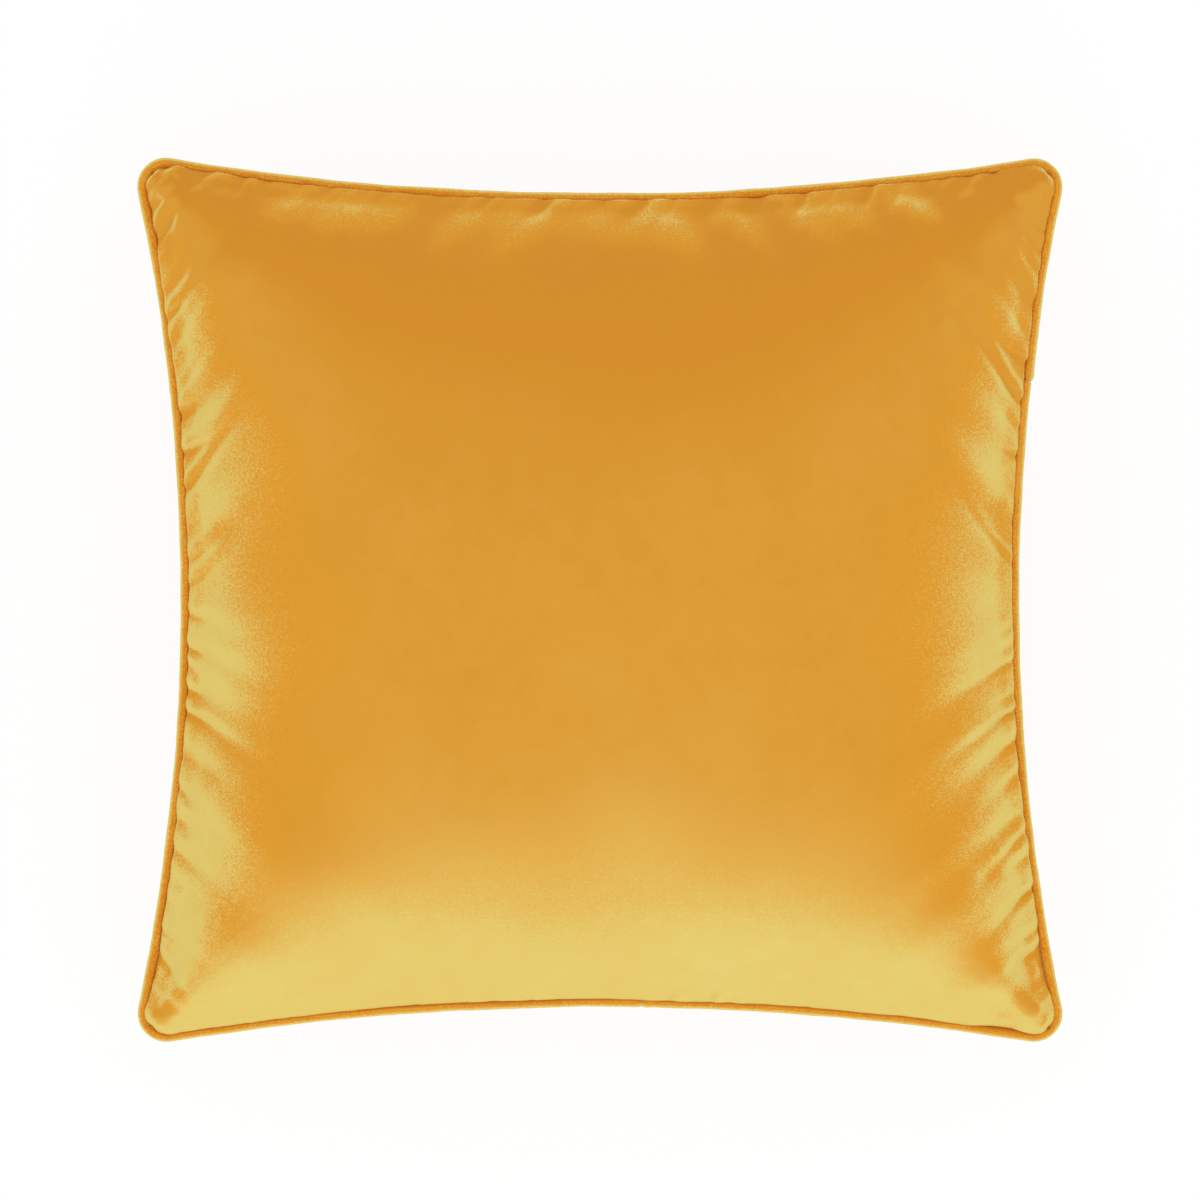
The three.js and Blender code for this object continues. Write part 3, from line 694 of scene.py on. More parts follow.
def pipingStrip(name, start, end, startStep):
    # the strip from one join to the next; its start lies outwards of the other strip's end by startStep
    runs = np.linspace(start, end, int((end - start) / piping["step"]))
    section = tubeSection()
    flat = section[:, 0] < 0
    centre = np.array([piping["radius"], 0])
    around = np.arctan2(section[:, 1], section[:, 0] - piping["radius"])
    ripple = np.sin(2 * math.pi * runs[:, None] / piping["biasRipple"] + around * 1.5)
    thick = 1 + 0.03 * wandering(runs, (0.02, 0.09), 6)[:, None]
    thick = thick + 0.018 * ripple * wandering(runs, (0.03, 0.1), 5)[:, None]
    fromEnd = np.minimum(runs - start, end - runs)[:, None]
    pinched = 0.16 * np.exp(-(fromEnd / 0.0009) ** 2)
    thick = thick - pinched + 0.05 * np.exp(-((fromEnd - 0.003) / 0.0018) ** 2)
    stray = piping["wander"] * np.stack([wandering(runs, (0.03, 0.2), seed) for seed in (7, 8)], -1)
    stray[:, 0] += startStep * np.exp(-((runs - start) / piping["stepReach"]) ** 2)
    shaped = centre + (section[None] - centre) * thick[..., None] + stray[:, None]
    return sweptPiece(name, runs, np.where(flat[None, :, None], section[None], shaped))


closingRun = runAt(piping["closingX"], -pillow["halfLength"] + pillow["endPullIn"])
stripRun = runAt(pillow["halfWidth"] - pillow["sidePullIn"], piping["stripY"])
gap = piping["joinGap"]
pipingLong = pipingStrip("piping_strip_long", stripRun + gap, closingRun - gap, piping["joinStep"])
pipingShort = pipingStrip("piping_strip_short", closingRun + gap - outlineLength, stripRun - gap, 0.0)


def twistedCord():
    runs = np.linspace(closingRun + gap - outlineLength, closingRun - gap, int(outlineLength / 0.0018))
    around = np.linspace(0, 2 * math.pi, 16, endpoint=False)
    lobes = 1 + 0.13 * np.cos(3 * around[None] - 2 * math.pi * runs[:, None] / piping["twist"])
    radius = piping["cordRadius"] * lobes * 0.9
    sections = np.stack([piping["radius"] + radius * np.cos(around), radius * np.sin(around)], -1)
    return sweptPiece("twisted_piping_cord", runs, sections)


pipingCord = twistedCord()
print("piping made")


# Repeats along a line, by Geometry Nodes. The line's points hold which way is out, in an attribute.
def linkedNode(tree, kind, settings=None, sockets=None):
    made = tree.nodes.new(kind)
    for name, value in (settings or {}).items():
        setattr(made, name, value)
    for name, value in (sockets or {}).items():
        if isinstance(value, bpy.types.NodeSocket):
            tree.links.new(value, made.inputs[name])
        else:
            made.inputs[name].default_value = value
    return made


def repeatTree():
    tree = bpy.data.node_groups.new("repeat_along_line", "GeometryNodeTree")
    kinds = {"Line": "Geometry", "Pitch": "Float", "Unit": "Object", "Unevenness": "Float", "Seed": "Int",
             "Finish": "Material"}
    for name, kind in kinds.items():
        tree.interface.new_socket(name, in_out="INPUT", socket_type="NodeSocket" + kind)
    tree.interface.new_socket("Pieces", in_out="OUTPUT", socket_type="NodeSocketGeometry")
    given = tree.nodes.new("NodeGroupInput").outputs
    curve = linkedNode(tree, "GeometryNodeMeshToCurve", sockets={"Mesh": given["Line"]})
    spaced = linkedNode(tree, "GeometryNodeResampleCurve", {"mode": "LENGTH"},
                        {"Curve": curve.outputs["Curve"], "Length": given["Pitch"]})
    unit = linkedNode(tree, "GeometryNodeObjectInfo", sockets={"Object": given["Unit"]})
    tangent = tree.nodes.new("GeometryNodeInputTangent")
    out = linkedNode(tree, "GeometryNodeInputNamedAttribute", {"data_type": "FLOAT_VECTOR"}, {"Name": "out"})
    turned = linkedNode(tree, "FunctionNodeAlignRotationToVector", {"axis": "X"},
                        {"Vector": tangent.outputs[0]})
    upright = linkedNode(tree, "FunctionNodeAlignRotationToVector", {"axis": "Z", "pivot_axis": "X"},
                         {"Rotation": turned.outputs[0], "Vector": out.outputs["Attribute"]})
    spread = linkedNode(tree, "FunctionNodeRandomValue", {"data_type": "FLOAT"},
                        {2: -1.0, 3: 1.0, "Seed": given["Seed"]})
    uneven = linkedNode(tree, "ShaderNodeMath", {"operation": "MULTIPLY_ADD"},
                        {0: spread.outputs[1], 1: given["Unevenness"], 2: 1.0})
    placed = linkedNode(tree, "GeometryNodeInstanceOnPoints", sockets={
        "Points": spaced.outputs["Curve"], "Instance": unit.outputs["Geometry"],
        "Rotation": upright.outputs[0], "Scale": uneven.outputs[0]})
    real = linkedNode(tree, "GeometryNodeRealizeInstances", sockets={"Geometry": placed.outputs["Instances"]})
    coated = linkedNode(tree, "GeometryNodeSetMaterial",
                        sockets={"Geometry": real.outputs["Geometry"], "Material": given["Finish"]})
    linkedNode(tree, "NodeGroupOutput", sockets={"Pieces": coated.outputs["Geometry"]})
    return tree


repeatAlong = repeatTree()


def repeated(name, line, out, unit, pitch, finish, unevenness=0.0, seed=1, closed=False):
    count = len(line)
    last = [[count - 1, 0]] if closed else []
    made = meshPiece(name, line, [], edges=[[k, k + 1] for k in range(count - 1)] + last)
    outward = made.data.attributes.new("out", "FLOAT_VECTOR", "POINT")
    outward.data.foreach_set("vector", np.asarray(out, np.float32).ravel())
    modifier = made.modifiers.new("Repeat", "NODES")
    modifier.node_group = repeatAlong
    values = {"Pitch": pitch, "Unit": unit, "Unevenness": unevenness, "Seed": seed, "Finish": finish.material}
    for item in repeatAlong.interface.items_tree:
        if item.in_out == "INPUT" and item.name in values:
            modifier[item.identifier] = values[item.name]
    made = applied(made)
    made.data.shade_smooth()
    bpy.data.objects.remove(unit)
    return made


def tubeUnit(name, path, radii, sides=6):
    # a small closed tube along a list of points, for a stitch or one turn of a coil
    path = np.asarray(path, float)
    tangent = np.gradient(path, axis=0)
    tangent /= np.linalg.norm(tangent, axis=1, keepdims=True)
    side = np.cross(tangent, [0.31, 0.83, 0.46])
    side /= np.linalg.norm(side, axis=1, keepdims=True)
    up = np.cross(tangent, side)
    turn = np.linspace(0, 2 * math.pi, sides, endpoint=False)
    rings = path[:, None] + (side[:, None] * np.cos(turn)[None, :, None]
                             + up[:, None] * np.sin(turn)[None, :, None]) * np.asarray(radii)[:, None, None]
    index = np.arange(len(path) * sides).reshape(len(path), sides)
    wrapped = np.concatenate([index, index[:, :1]], 1)
    made = meshPiece(name, rings, gridQuads(wrapped).tolist() + [index[0].tolist(), index[-1].tolist()[::-1]])
    facesOut(made)
    return made


def stitchUnit(length, thickness):
    t = np.linspace(-1, 1, 5)
    path = np.column_stack([t * length / 2, 0 * t, thickness * (0.35 - 0.75 * t ** 4)])
    return tubeUnit("stitch_unit", path, thickness / 2 * np.array([0.5, 0.95, 1.0, 0.95, 0.5]))


# Finishes. Numbers is a socket that can be reckoned with; Finish is one material and its nodes.
class Numbers:
    def __init__(self, finish, socket):
        self.finish = finish
        self.socket = socket

    def __add__(self, other):
        return self.finish.math("ADD", self, other)

    def __sub__(self, other):
        return self.finish.math("SUBTRACT", self, other)

    def __rsub__(self, other):
        return self.finish.math("SUBTRACT", other, self)

    def __mul__(self, other):
        return self.finish.math("MULTIPLY", self, other)

    __radd__ = __add__
    __rmul__ = __mul__


class Finish:
    def __init__(self, name):
        self.material = bpy.data.materials.new(name)
        self.material.use_nodes = True
        self.tree = self.material.node_tree
        self.tree.nodes.clear()
        self.place = self.node("TexCoord").outputs["Object"]

    def node(self, kind, settings=None, sockets=None):
        made = self.tree.nodes.new("ShaderNode" + kind)
        for name, value in (settings or {}).items():
            setattr(made, name, value)
        for name, value in (sockets or {}).items():
            self.put(value, made.inputs[name])
        return made

    def put(self, value, socket):
        if isinstance(value, Numbers):
            value = value.socket
        if isinstance(value, bpy.types.NodeSocket):
            self.tree.links.new(value, socket)
        elif isinstance(value, tuple) and len(value) == 3 and socket.type == "RGBA":
            socket.default_value = (*value, 1.0)
        else:
            socket.default_value = value

    def math(self, operation, first, second=0.0, clamp=False):
        settings = {"operation": operation, "use_clamp": clamp}
        made = self.node("Math", settings, {0: first, 1: second})
        return Numbers(self, made.outputs[0])

    def noise(self, scale, detail=2.0, roughness=0.5, stretch=(1, 1, 1)):
        place = self.node("Mapping", sockets={"Vector": self.place, "Scale": stretch}).outputs[0]
        made = self.node("TexNoise", sockets={"Vector": place, "Scale": scale, "Detail": detail,
                                              "Roughness": roughness})
        return Numbers(self, made.outputs["Fac"])

    def threads(self, pitch, direction):
        # 0 to 1 and back, once every pitch
        settings = {"wave_type": "BANDS", "bands_direction": direction, "wave_profile": "SIN"}
        made = self.node("TexWave", settings, {"Vector": self.place, "Scale": math.pi / 10 / pitch,
                                               "Distortion": 0.0})
        return Numbers(self, made.outputs["Fac"])

    def between(self, low, high, value):
        settings = {"interpolation_type": "SMOOTHSTEP"}
        made = self.node("MapRange", settings, {"Value": value, "From Min": low, "From Max": high})
        return Numbers(self, made.outputs[0])

    def blend(self, factor, first, second):
        made = self.node("Mix", {"data_type": "RGBA"}, {0: factor, 6: first, 7: second})
        return made.outputs[2]

    def bump(self, height, distance, strength=1.0):
        sockets = {"Height": height, "Distance": distance, "Strength": strength}
        return self.node("Bump", sockets=sockets).outputs["Normal"]

    def shader(self, sockets):
        return self.node("BsdfPrincipled", sockets=sockets).outputs[0]

    def done(self, shader):
        self.node("OutputMaterial", sockets={"Surface": shader})
        return self


# Velvet colours: its own deep colour with random patches, a pale painted sheen where the cloth slopes and
# turns from the eye, a brighter orange at that sheen's edge, and painted shade on slopes that face +Y.
velvetLook = {
    "deep": (0.730, 0.328, 0.031),       # straight down into the pile
    "deepPatch": (0.750, 0.352, 0.040),
    "headwardShade": (0.710, 0.288, 0.023),   # painted shade: darker on slopes that face +Y
    "turning": (0.775, 0.335, 0.024),    # painted sheen's edge: brighter orange where the cloth starts to turn away, beside the pale bands
    "pale": (0.800, 0.625, 0.165),       # painted sheen: the pile's sides catching the light
    "paleSheenPatch": (0.800, 0.590, 0.145),
    "seen": 0.40,                        # how far the painted sheen's pale bands follow the eye; the rest is painted by the cloth's own slope
    "lean": 0.12,                        # how much more painted sheen goes on slopes that face -Y
    "softSheen": 0.82,                    # how pale the painted sheen makes those slopes, evenly
    "softSheenFrom": 0.03,
    "softSheenTo": 0.80,
    "softSheenHold": 0.28,                    # how far the sheen-hold mark takes that painted sheen back off
    "headwardShadeTo": 0.40,                      # slope at which the headward painted shade is whole
    "fleck": 0.2,                        # of the two deep colours, by the grain
    "sheenFrom": 0.150,
    "sheenTo": 0.345,
    "sheenEdgeFrom": 0.04,
    "grain": 1500.0,
    "grainDepth": 0.50,
    "rib": 0.0011,                       # between the backing's threads
    "sheenHold": 0.13,                  # how far the sheen-hold mark turns the painted sheen back to deep
    "mark": "sheenHoldMark",
}


def velvetFinish(name, look):
    made = Finish(name)
    grain = made.noise(look["grain"], 2.0, 0.6)
    coarse = made.noise(look["grain"] * 0.4, 2.0, 0.6)
    brushed = made.noise(16.0, 3.0, 0.55, (1, 0.6, 1))
    mottle = made.noise(95.0, 2.0, 0.5)
    ribs = made.threads(look["rib"], "X") + made.threads(look["rib"], "Y")
    mark = Numbers(made, made.node("Attribute", {"attribute_name": look["mark"]}).outputs["Fac"])
    normal = made.bump(grain * 0.8 + ribs * 0.1, 0.00030, 0.5)
    facing = Numbers(made, made.node("LayerWeight", sockets={"Blend": 0.5}).outputs["Facing"])
    direction = made.node("SeparateXYZ", sockets={0: made.node("TexCoord").outputs["Normal"]})
    upward = Numbers(made, direction.outputs["Y"])
    lying = made.math("ABSOLUTE", Numbers(made, direction.outputs["Z"]))
    # painted sheen: pale by how far the surface turns from the eye, and for the rest by how far it slopes,
    # which reads the same from every side
    sides = facing * look["seen"] + (1 - lying) * (1 - look["seen"])
    slope = sides - upward * look["lean"] - mark * look["sheenHold"] + (brushed - 0.5) * 0.05
    speckle = (grain - 0.5) * look["grainDepth"] + (coarse - 0.5) * (look["grainDepth"] * 0.35)
    speckle = speckle + (ribs - 1.0) * 0.012
    turned = made.between(look["sheenFrom"], look["sheenTo"], slope + speckle)
    # painted sheen on slopes that face -Y, the same from every side, taken back where the sheen-hold mark is
    # high
    footwardSheen = upward * -1.0 - mark * look["softSheenHold"]
    soft = made.between(look["softSheenFrom"], look["softSheenTo"], footwardSheen) * look["softSheen"]
    factor = made.math("ADD", turned, soft * (1 - turned), clamp=True)
    patch = made.between(0.35, 0.65, brushed * 0.6 + mottle * 0.4 + (grain - 0.5) * look["fleck"])
    # painted sheen's edge: a brighter orange just short of the pale bands
    sheenEdgeMask = made.between(look["sheenEdgeFrom"], look["sheenFrom"], slope + speckle * 0.3)
    level = made.blend(patch, look["deep"], look["deepPatch"])
    # painted shade: the deep colour darker on slopes that face +Y
    deepWithShade = made.blend(made.between(0.0, look["headwardShadeTo"], upward), level, look["headwardShade"])
    cloth = {"Roughness": 0.85, "Specular IOR Level": 0.08, "Sheen Weight": 0.06, "Sheen Roughness": 0.5,
             "Sheen Tint": (1.0, 0.86, 0.55), "Normal": normal}
    # the deep shader holds the velvet's own colour with the painted shade and the sheen's edge; the pale one
    # is the painted sheen
    deep = made.shader({**cloth, "Base Color": made.blend(sheenEdgeMask, deepWithShade, look["turning"])})
    pale = made.shader({**cloth, "Base Color": made.blend(patch, look["pale"], look["paleSheenPatch"])})
    return made.done(made.node("MixShader", sockets={0: factor, 1: deep, 2: pale}).outputs[0])


def wovenFinish(name, colour, shade, pitch, roughness, depth, gloss=0.25, sheen=0.0):
    # plain woven cloth: two sets of threads, crossing
    made = Finish(name)
    over = made.threads(pitch, "X") * made.threads(pitch, "Y")
    slubs = made.noise(1 / (6 * pitch), 2.0, 0.6, (1, 4, 1))
    height = over + slubs * 0.6
    tone = made.blend(made.between(0.1, 0.9, height * 0.6), shade, colour)
    return made.done(made.shader({
        "Base Color": tone, "Roughness": roughness, "Specular IOR Level": gloss, "Sheen Weight": sheen,
        "Normal": made.bump(height, depth)}))


def metalFinish(name, colour, worn):
    # plated metal: fine brushing, with duller tone in patches
    made = Finish(name)
    brushed = made.noise(2600.0, 3.0, 0.6, (0.15, 1, 1))
    patches = made.noise(420.0, 3.0, 0.55)
    tone = made.blend(made.between(0.35, 0.7, patches), colour, worn)
    return made.done(made.shader({
        "Base Color": tone, "Metallic": 1.0, "Roughness": 0.22 + patches * 0.22 + brushed * 0.06,
        "Normal": made.bump(brushed, 0.00002, 0.5)}))


def yarnFinish(name, colour, shade, pitch, roughness=0.6, gloss=0.35):
    # twisted thread or nylon: its fibres run at a slant along X
    made = Finish(name)
    fibres = made.noise(1 / pitch, 2.0, 0.6, (0.35, 1, 1))
    tone = made.blend(made.between(0.3, 0.7, fibres), shade, colour)
    return made.done(made.shader({
        "Base Color": tone, "Roughness": roughness, "Specular IOR Level": gloss,
        "Normal": made.bump(fibres, pitch / 8)}))


velvet = velvetFinish("amber_velvet", velvetLook)
pipingVelvet = velvetFinish("amber_piping_velvet", {
    **velvetLook,
    "deep": (0.72, 0.25, 0.014),
    "deepPatch": (0.84, 0.39, 0.040),
    "headwardShade": (0.72, 0.26, 0.016),
    "turning": (0.78, 0.32, 0.024),
    "seen": 1.0,
    "lean": 0.0,
    "softSheen": 0.0,
    "fleck": 1.3,
    "sheenFrom": 0.17,
    "sheenTo": 0.60,
    "grain": 1100.0,
    "grainDepth": 0.95,
    # the outward mark puts more painted sheen on the tube's outer side and less on the side in the groove
    "sheenHold": -0.30,
    "mark": "outward",
})
amberThread = yarnFinish("amber_thread", (0.66, 0.24, 0.02), (0.45, 0.14, 0.01), 0.0003)
tapeCloth = wovenFinish("zip_tape_weave", (0.62, 0.27, 0.03), (0.42, 0.16, 0.015), 0.0007, 0.75, 0.00012)
coilNylon = yarnFinish("zip_coil_nylon", (0.62, 0.25, 0.03), (0.50, 0.18, 0.02), 0.0006, 0.38, 0.5)
brass = metalFinish("antique_brass", (0.52, 0.36, 0.14), (0.36, 0.23, 0.08))
cordCotton = yarnFinish("cotton_cord", (0.86, 0.80, 0.68), (0.70, 0.63, 0.50), 0.0005, 0.9, 0.1)
labelSatin = wovenFinish("label_satin", (0.90, 0.88, 0.83), (0.78, 0.76, 0.70), 0.0003, 0.42, 0.00003,
                         0.5, 0.1)
padCotton = wovenFinish("pad_cotton", (0.88, 0.86, 0.80), (0.74, 0.72, 0.66), 0.0006, 0.9, 0.0001, 0.1)
padThread = yarnFinish("pad_thread", (0.93, 0.93, 0.92), (0.80, 0.80, 0.79), 0.0003)


def fibreFinish():
    made = Finish("polyester_fibre")
    wisps = made.noise(160.0, 5.0, 0.7, (1, 1, 0.4))
    tone = made.blend(made.between(0.35, 0.65, wisps), (0.80, 0.80, 0.79), (0.93, 0.93, 0.92))
    return made.done(made.shader({"Base Color": tone, "Roughness": 0.95, "Specular IOR Level": 0.1,
                                  "Normal": made.bump(wisps, 0.002)}))


fibre = fibreFinish()
print("finishes made")


# Zip: woven tapes, coils, stops, slider and pull tab.
zipLook = {
    "columns": 260,          # along the tapes
    "toothPitch": 0.00120,
    "coilHalf": 0.1567,
    "coilNear": 0.00042,     # from the chain's middle to a tooth's head
    "coilFar": 0.0023,
    "coilLow": 0.0003,
    "coilHigh": 0.0016,
    "wire": 0.00024,         # radius
    "stitchPitch": 0.0030,
    "stitchThickness": 0.00055,
    "topstitchInset": 0.0026,
    "bevel": 0.00016,
    "endSink": 0.0030,       # how deep the tapes' ends dive under the velvet
    "farSink": 0.0045,       # how deep the panel tape's far edge dives under it
}
tapeHalf = zipParts["half"] + zipParts["tapeOverrun"]


def zipSweep(name, section):
    # a closed section of across and out, swept along the zip
    section = np.asarray(section)
    along = np.linspace(-tapeHalf, tapeHalf, zipLook["columns"] + 1)[:, None]
    sink = zipLook["endSink"] * smooth(zipParts["half"] + zipParts["openingPast"], tapeHalf, np.abs(along))
    points = zipPoint(along, section[None, :, 0], section[None, :, 1] - sink)
    index = np.arange(points.shape[0] * points.shape[1]).reshape(points.shape[:2])
    wrapped = np.concatenate([index, index[:, :1]], 1)
    ends = [index[0].tolist(), index[-1].tolist()[::-1]]
    made = meshPiece(name, points, gridQuads(wrapped).tolist() + ends)
    facesOut(made)
    return made


def ribbonSection(path, thickness):
    # the two sides of a line of across and out
    path = np.asarray(path, float)
    tangent = np.gradient(path, axis=0)
    tangent /= np.linalg.norm(tangent, axis=1, keepdims=True)
    side = np.column_stack([tangent[:, 1], -tangent[:, 0]]) * thickness / 2
    return np.concatenate([path + side, (path - side)[::-1]])


def tapePath(near, far, steps):
    # the middle of a tape's thickness, flat, from near to far
    return [(a, -zipParts["tapeThickness"] / 2) for a in np.linspace(near, far, steps)]


def foldedTapePath():
    # from the seam allowance round the fold and up the slope to the coil
    fold = np.array([-zipParts["seamFold"], -zipParts["tapeThickness"] / 2])
    down = np.array([-math.cos(zipTilt), -math.sin(zipTilt)])   # flat seam allowance, seen from the slope
    toSeam = np.array([-math.sin(zipTilt), math.cos(zipTilt)])
    foot = fold - toSeam * 0.0003 + down * 0.0016
    inward = np.array([math.cos(zipTilt), -math.sin(zipTilt)])
    allowance = [foot + inward * 0.0066 * t for t in (1.0, 0.6, 0.25, 0.06)]
    return allowance + [foot * 0.6 + fold * 0.4, fold] + tapePath(-0.0044, -zipParts["gap"] / 2, 8)


def hemTapePath():
    # flat to the hem, then bending down away from the velvet
    near = zipParts["gap"] / 2
    far = near + zipParts["tapeWidth"]
    path = np.array(tapePath(near, far, 12))
    path[:, 1] -= zipLook["farSink"] * smooth(zipParts["hem"], far, path[:, 0])
    return path


wovenThickness = zipParts["tapeThickness"] * 0.9
seamTape = zipSweep("zip_tape_seam_strip", ribbonSection(foldedTapePath(), wovenThickness))
panelTape = zipSweep("zip_tape_panel_strip", ribbonSection(hemTapePath(), wovenThickness))


def toothUnit(side):
    # one turn of a coil, from its back edge round its head
    turn = np.linspace(0, 2 * math.pi, 10)
    wire = zipLook["wire"]
    near, far = zipLook["coilNear"] + wire, zipLook["coilFar"] - wire
    low, high = zipLook["coilLow"] + wire, zipLook["coilHigh"] - wire
    across = (near + far) / 2 - (far - near) / 2 * np.sign(np.cos(turn)) * np.abs(np.cos(turn)) ** 0.7
    out = (low + high) / 2 + (high - low) / 2 * np.sign(np.sin(turn)) * np.abs(np.sin(turn)) ** 0.7
    slant = (turn / (2 * math.pi) - 0.5) * zipLook["toothPitch"]
    return tubeUnit("tooth_unit", np.column_stack([slant, -side * across, out]), np.full(len(turn), wire))


def coil(name, side, start):
    along = np.linspace(-zipLook["coilHalf"] + start, zipLook["coilHalf"], 240)
    line = zipPoint(along, 0.0, 0.0)
    out = zipPoint(along, 0.0, 1.0) - line
    return repeated(name, line, out, toothUnit(side), zipLook["toothPitch"], coilNylon)


seamCoil = coil("zip_coil_seam_teeth", -1, 0.0006)
panelCoil = coil("zip_coil_panel_teeth", 1, 0.0012)


def topstitchLine():
    # along the hem, on the velvet's own surface
    fromHem = np.linalg.norm(np.diff(backFine, axis=0), axis=2).cumsum(0)
    along = endArc["radius"] * np.arctan2(backFine[0, :, 0], backFine[0, :, 1] - zipCentreY)
    normals = gridNormals(backFine, -1)
    line, out = [], []
    for column in np.flatnonzero(np.abs(along) < zipParts["half"] + zipParts["openingPast"]):
        row = 1 + np.searchsorted(fromHem[:, column], zipLook["topstitchInset"])
        line.append(backFine[row, column] + normals[row, column] * zipLook["stitchThickness"] * 0.1)
        out.append(normals[row, column])
    return np.array(line), np.array(out)


topstitch = repeated("zip_topstitches", *topstitchLine(), stitchUnit(0.0026, zipLook["stitchThickness"]),
                     zipLook["stitchPitch"], amberThread, 0.06, 5)


def ringStitches(name, inset, height, pitch, length, thickness, finish):
    runs = np.linspace(0, outlineLength, 1200, endpoint=False)
    place = outlineAt(runs)
    line = np.column_stack([place[:, :2] - place[:, 2:] * inset, np.full(len(runs), seamZ + height)])
    up = np.tile([0.0, 0.0, 1.0], (len(runs), 1))
    return repeated(name, line, up, stitchUnit(length, thickness), pitch, finish, 0.05, 9, closed=True)


seamStitches = ringStitches("cover_seam_stitches", 0.0052, 0.0019, 0.0030, 0.0027, 0.0005, amberThread)
padStitches = ringStitches("pad_seam_stitches", 0.0110, 0.0, 0.0040, 0.0036, 0.0005, padThread)


def smoothedPart(name, node):
    # a copy of a metal part with its edges eased
    made = frame["nodes"][node].copy()
    made.data = made.data.copy()
    made.name = name
    for key in list(made.keys()):
        del made[key]
    made.parent = None
    bpy.context.scene.collection.objects.link(made)
    shell = bmesh.new()
    shell.from_mesh(made.data)
    bmesh.ops.remove_doubles(shell, verts=shell.verts, dist=1e-6)
    bmesh.ops.dissolve_limit(shell, angle_limit=math.radians(2), verts=shell.verts, edges=shell.edges)
    shell.to_mesh(made.data)
    shell.free()
    bevel = made.modifiers.new("Bevel", "BEVEL")
    bevel.width = zipLook["bevel"]
    bevel.segments = 2
    bevel.angle_limit = math.radians(40)
    made = applied(made)
    made.data.shade_smooth()
    return painted(made, brass)


metalParts = {
    "zip_slider": smoothedPart("zip_slider_body", "zip_slider"),
    "zip_pull_tab": smoothedPart("zip_pull_tab_plate", "zip_pull_tab"),
    "zip_top_stop_seam_side": smoothedPart("zip_top_stop_seam", "zip_top_stop_seam_side"),
    "zip_top_stop_panel_side": smoothedPart("zip_top_stop_panel", "zip_top_stop_panel_side"),
    "zip_bottom_stop": smoothedPart("zip_bottom_stop_clip", "zip_bottom_stop"),
}
print("zip made")


# Pad: two cotton casings sewn together, and the filling, inside the cover.
pad = {
    "inset": 0.0135,         # of the casing from the cover's seam line
    "height": 0.955,         # of the casing over the seam, as a share of the cover's
    "casing": 0.0005,
    "fillingInset": 0.0150,
    "fillingHeight": 0.940,
}


def innerLayer(grid, inset, height):
    inner = grid[::panels["finer"], ::panels["finer"]].copy()
    inner[..., 0] *= 1 - inset / (pillow["halfWidth"] - pillow["sidePullIn"])
    inner[..., 1] *= 1 - inset / (pillow["halfLength"] - pillow["endPullIn"])
    inner[..., 2] = seamZ + (inner[..., 2] - seamZ) * height
    return inner


def casingHalf(name, grid, side):
    layer = innerLayer(grid, pad["inset"], pad["height"])
    index = np.arange(layer.shape[0] * layer.shape[1]).reshape(layer.shape[:2])
    quads = gridQuads(index)
    made = meshPiece(name, layer, (quads if side > 0 else quads[:, ::-1]).tolist())
    wall = made.modifiers.new("Solidify", "SOLIDIFY")
    wall.thickness = pad["casing"]
    wall.offset = -1
    return painted(applied(made), padCotton)


def fillingBody():
    inset, height = pad["fillingInset"], pad["fillingHeight"]
    layers = [innerLayer(frontSmooth, inset, height), innerLayer(backSmooth, inset, height)]
    rows, columns = layers[0].shape[:2]
    index = np.arange(rows * columns).reshape(rows, columns)
    under = index + rows * columns
    top, bottom = loopOf(index), loopOf(under)
    rim = np.stack([bottom, np.roll(bottom, -1), np.roll(top, -1), top], 1)
    faces = gridQuads(index).tolist() + gridQuads(under)[:, ::-1].tolist() + rim.tolist()
    made = meshPiece("pad_fibre_filling", np.concatenate(layers), faces)
    facesOut(made)
    return painted(made, fibre)


frontSmooth = finer(frontCoarse)
frontSmooth[..., 2] = seamZ + (frontSmooth[..., 2] - seamZ) * frontCrown / (frontSmooth[..., 2].max() - seamZ)
backSmooth = finer(backCoarse)
backSmooth[..., 2] = np.maximum(backSmooth[..., 2], restZ)
casingFront = casingHalf("pad_casing_front_cloth", frontSmooth, 1)
casingBack = casingHalf("pad_casing_back_cloth", backSmooth, -1)
filling = fillingBody()
painted(frame["nodes"]["care_label"], labelSatin)
print("pad made")


# What each piece stands for, what it rides on and where its finish comes from.
def settled(piece, slot, *nodes, body="pillow", finish=None):
    if finish is not None:
        painted(piece, finish)
    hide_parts(*nodes)
    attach(piece, body)


settled(frontPanel, "velvet", "front_panel", finish=velvet)
settled(backPanel, "velvet", "back_panel", finish=velvet)
settled(pipingLong, "piping_velvet", "piping_cover_long", finish=pipingVelvet)
settled(pipingShort, "piping_velvet", "piping_cover_short", finish=pipingVelvet)
settled(pipingCord, "cotton_cord", "piping_cord", finish=cordCotton)
settled(seamStitches, "amber_thread", "cover_seam_thread")
settled(seamTape, "zip_tape", "zip_tape_seam_side", finish=tapeCloth)
settled(panelTape, "zip_tape", "zip_tape_panel_side", finish=tapeCloth)
settled(seamCoil, "zip_nylon", "zip_coil_seam_side")
settled(panelCoil, "zip_nylon", "zip_coil_panel_side")
settled(topstitch, "amber_thread", "zip_topstitch_thread")
settled(casingFront, "pad_cotton", "pad_casing_front")
settled(casingBack, "pad_cotton", "pad_casing_back")
settled(padStitches, "pad_thread", "pad_seam_thread")
settled(filling, "fibre_filling", "pad_filling")
metalBodies = {"zip_slider": "slider", "zip_pull_tab": "pull_tab"}
for node, piece in metalParts.items():
    settled(piece, "zip_metal", node, body=metalBodies.get(node, "pillow"))


# Studio: a pale floor, soft light from all round with a little more from the zip's side, and a camera above.
studio = {
    "cameraHeight": 2.2,     # over the seam
    "frameWidth": 0.5838,    # seen at the seam's height
    "world": 0.88,
    "floorGlow": 0.88,
    "floorTone": 0.13,
    "floorSize": 14.0,
    "floorGap": 0.0005,
}


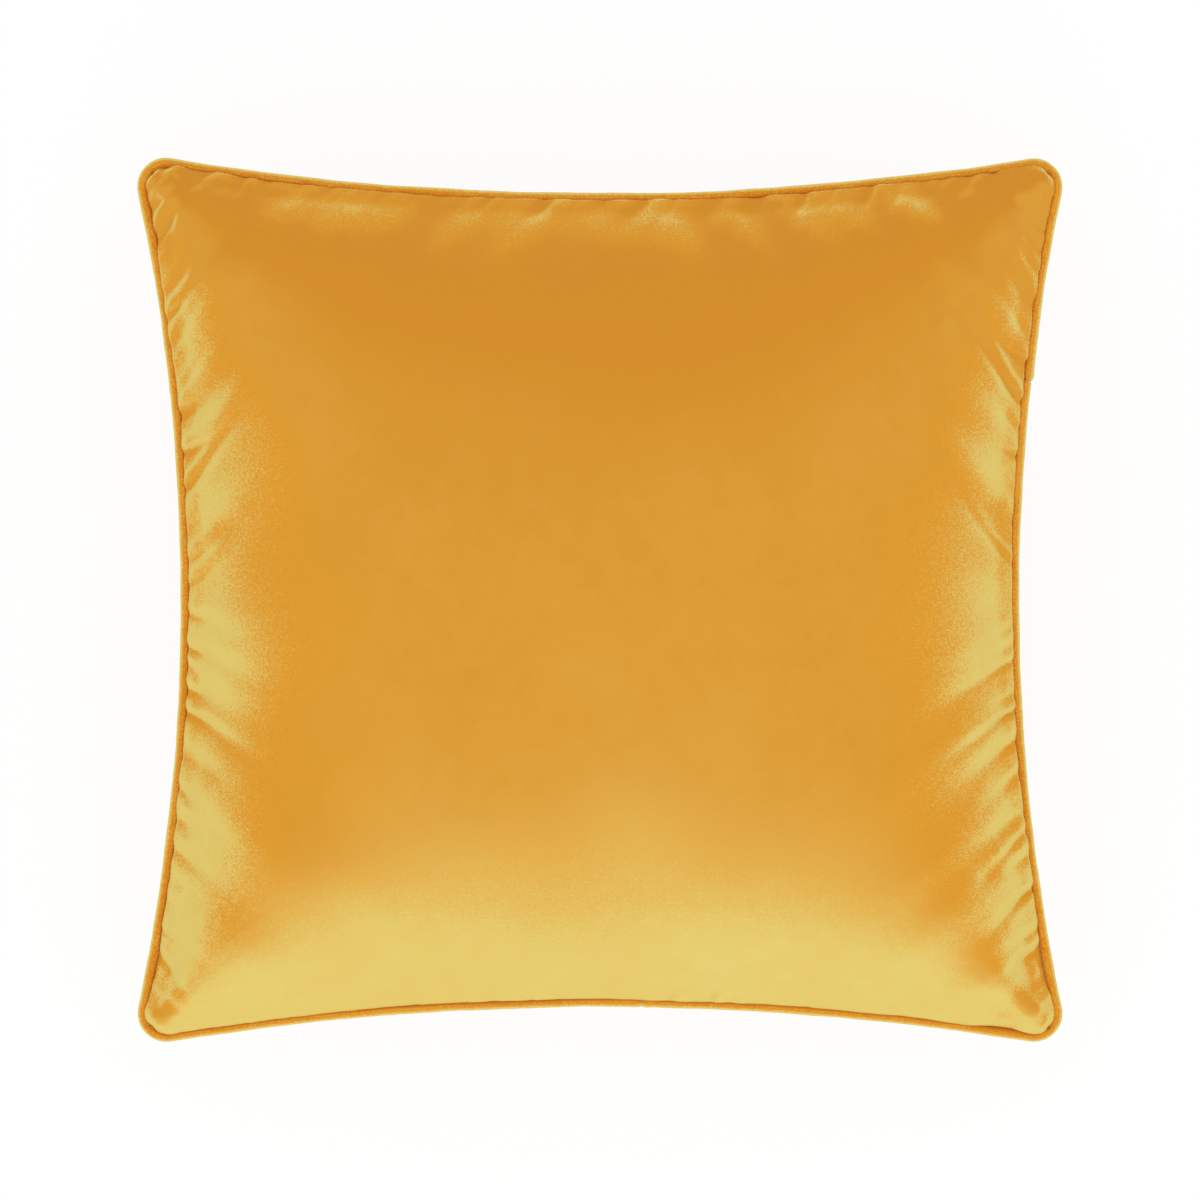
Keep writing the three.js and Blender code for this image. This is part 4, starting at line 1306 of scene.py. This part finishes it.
def studioFloor():
    # one triangle, so that no edge of it runs under the pillow
    turn = np.radians([90, 210, 330])
    level = np.full(3, -studio["floorGap"])
    reach = studio["floorSize"]
    corners = np.column_stack([np.cos(turn) * reach, np.sin(turn) * reach, level])
    floor = meshPiece("studio_floor", corners, [[0, 1, 2]])
    made = Finish("pale_floor")
    tone = (studio["floorTone"],) * 3
    top = made.shader({"Base Color": tone, "Roughness": 1.0, "Specular IOR Level": 0.0,
                       "Emission Color": (1.0, 1.0, 1.0), "Emission Strength": studio["floorGlow"]})
    below = made.node("BsdfTransparent").outputs[0]
    underside = made.node("NewGeometry").outputs["Backfacing"]
    made.done(made.node("MixShader", sockets={0: underside, 1: top, 2: below}).outputs[0])
    painted(floor, made)
    floor.visible_diffuse = False
    floor.visible_shadow = False


def softLight(name, size, power, place):
    lamp = bpy.data.lights.new(name, "AREA")
    lamp.shape = "DISK"
    lamp.size = size
    lamp.energy = power
    made = bpy.data.objects.new(name, lamp)
    made.location = place
    made.rotation_euler = (Vector((0, 0, seamZ)) - Vector(place)).to_track_quat("-Z", "Y").to_euler()
    made.visible_camera = False
    bpy.context.scene.collection.objects.link(made)


def studioCamera():
    lens = bpy.data.cameras.new("camera")
    lens.sensor_width = 36.0
    lens.lens = lens.sensor_width * studio["cameraHeight"] / studio["frameWidth"]
    made = bpy.data.objects.new("camera", lens)
    made.location = (0, 0, seamZ + studio["cameraHeight"])
    bpy.context.scene.collection.objects.link(made)
    bpy.context.scene.camera = made


def studioAir():
    world = bpy.data.worlds.new("studio_air")
    world.use_nodes = True
    world.node_tree.nodes["Background"].inputs["Color"].default_value = (1.0, 1.0, 1.0, 1.0)
    world.node_tree.nodes["Background"].inputs["Strength"].default_value = studio["world"]
    bpy.context.scene.world = world


studioFloor()
studioAir()
softLight("key_light", 1.6, 6.0, (0.0, -1.9, 1.5))
softLight("top_light", 2.0, 2.0, (0.3, 0.5, 2.4))
studioCamera()
bpy.context.scene.view_settings.view_transform = "Standard"
print("studio made")
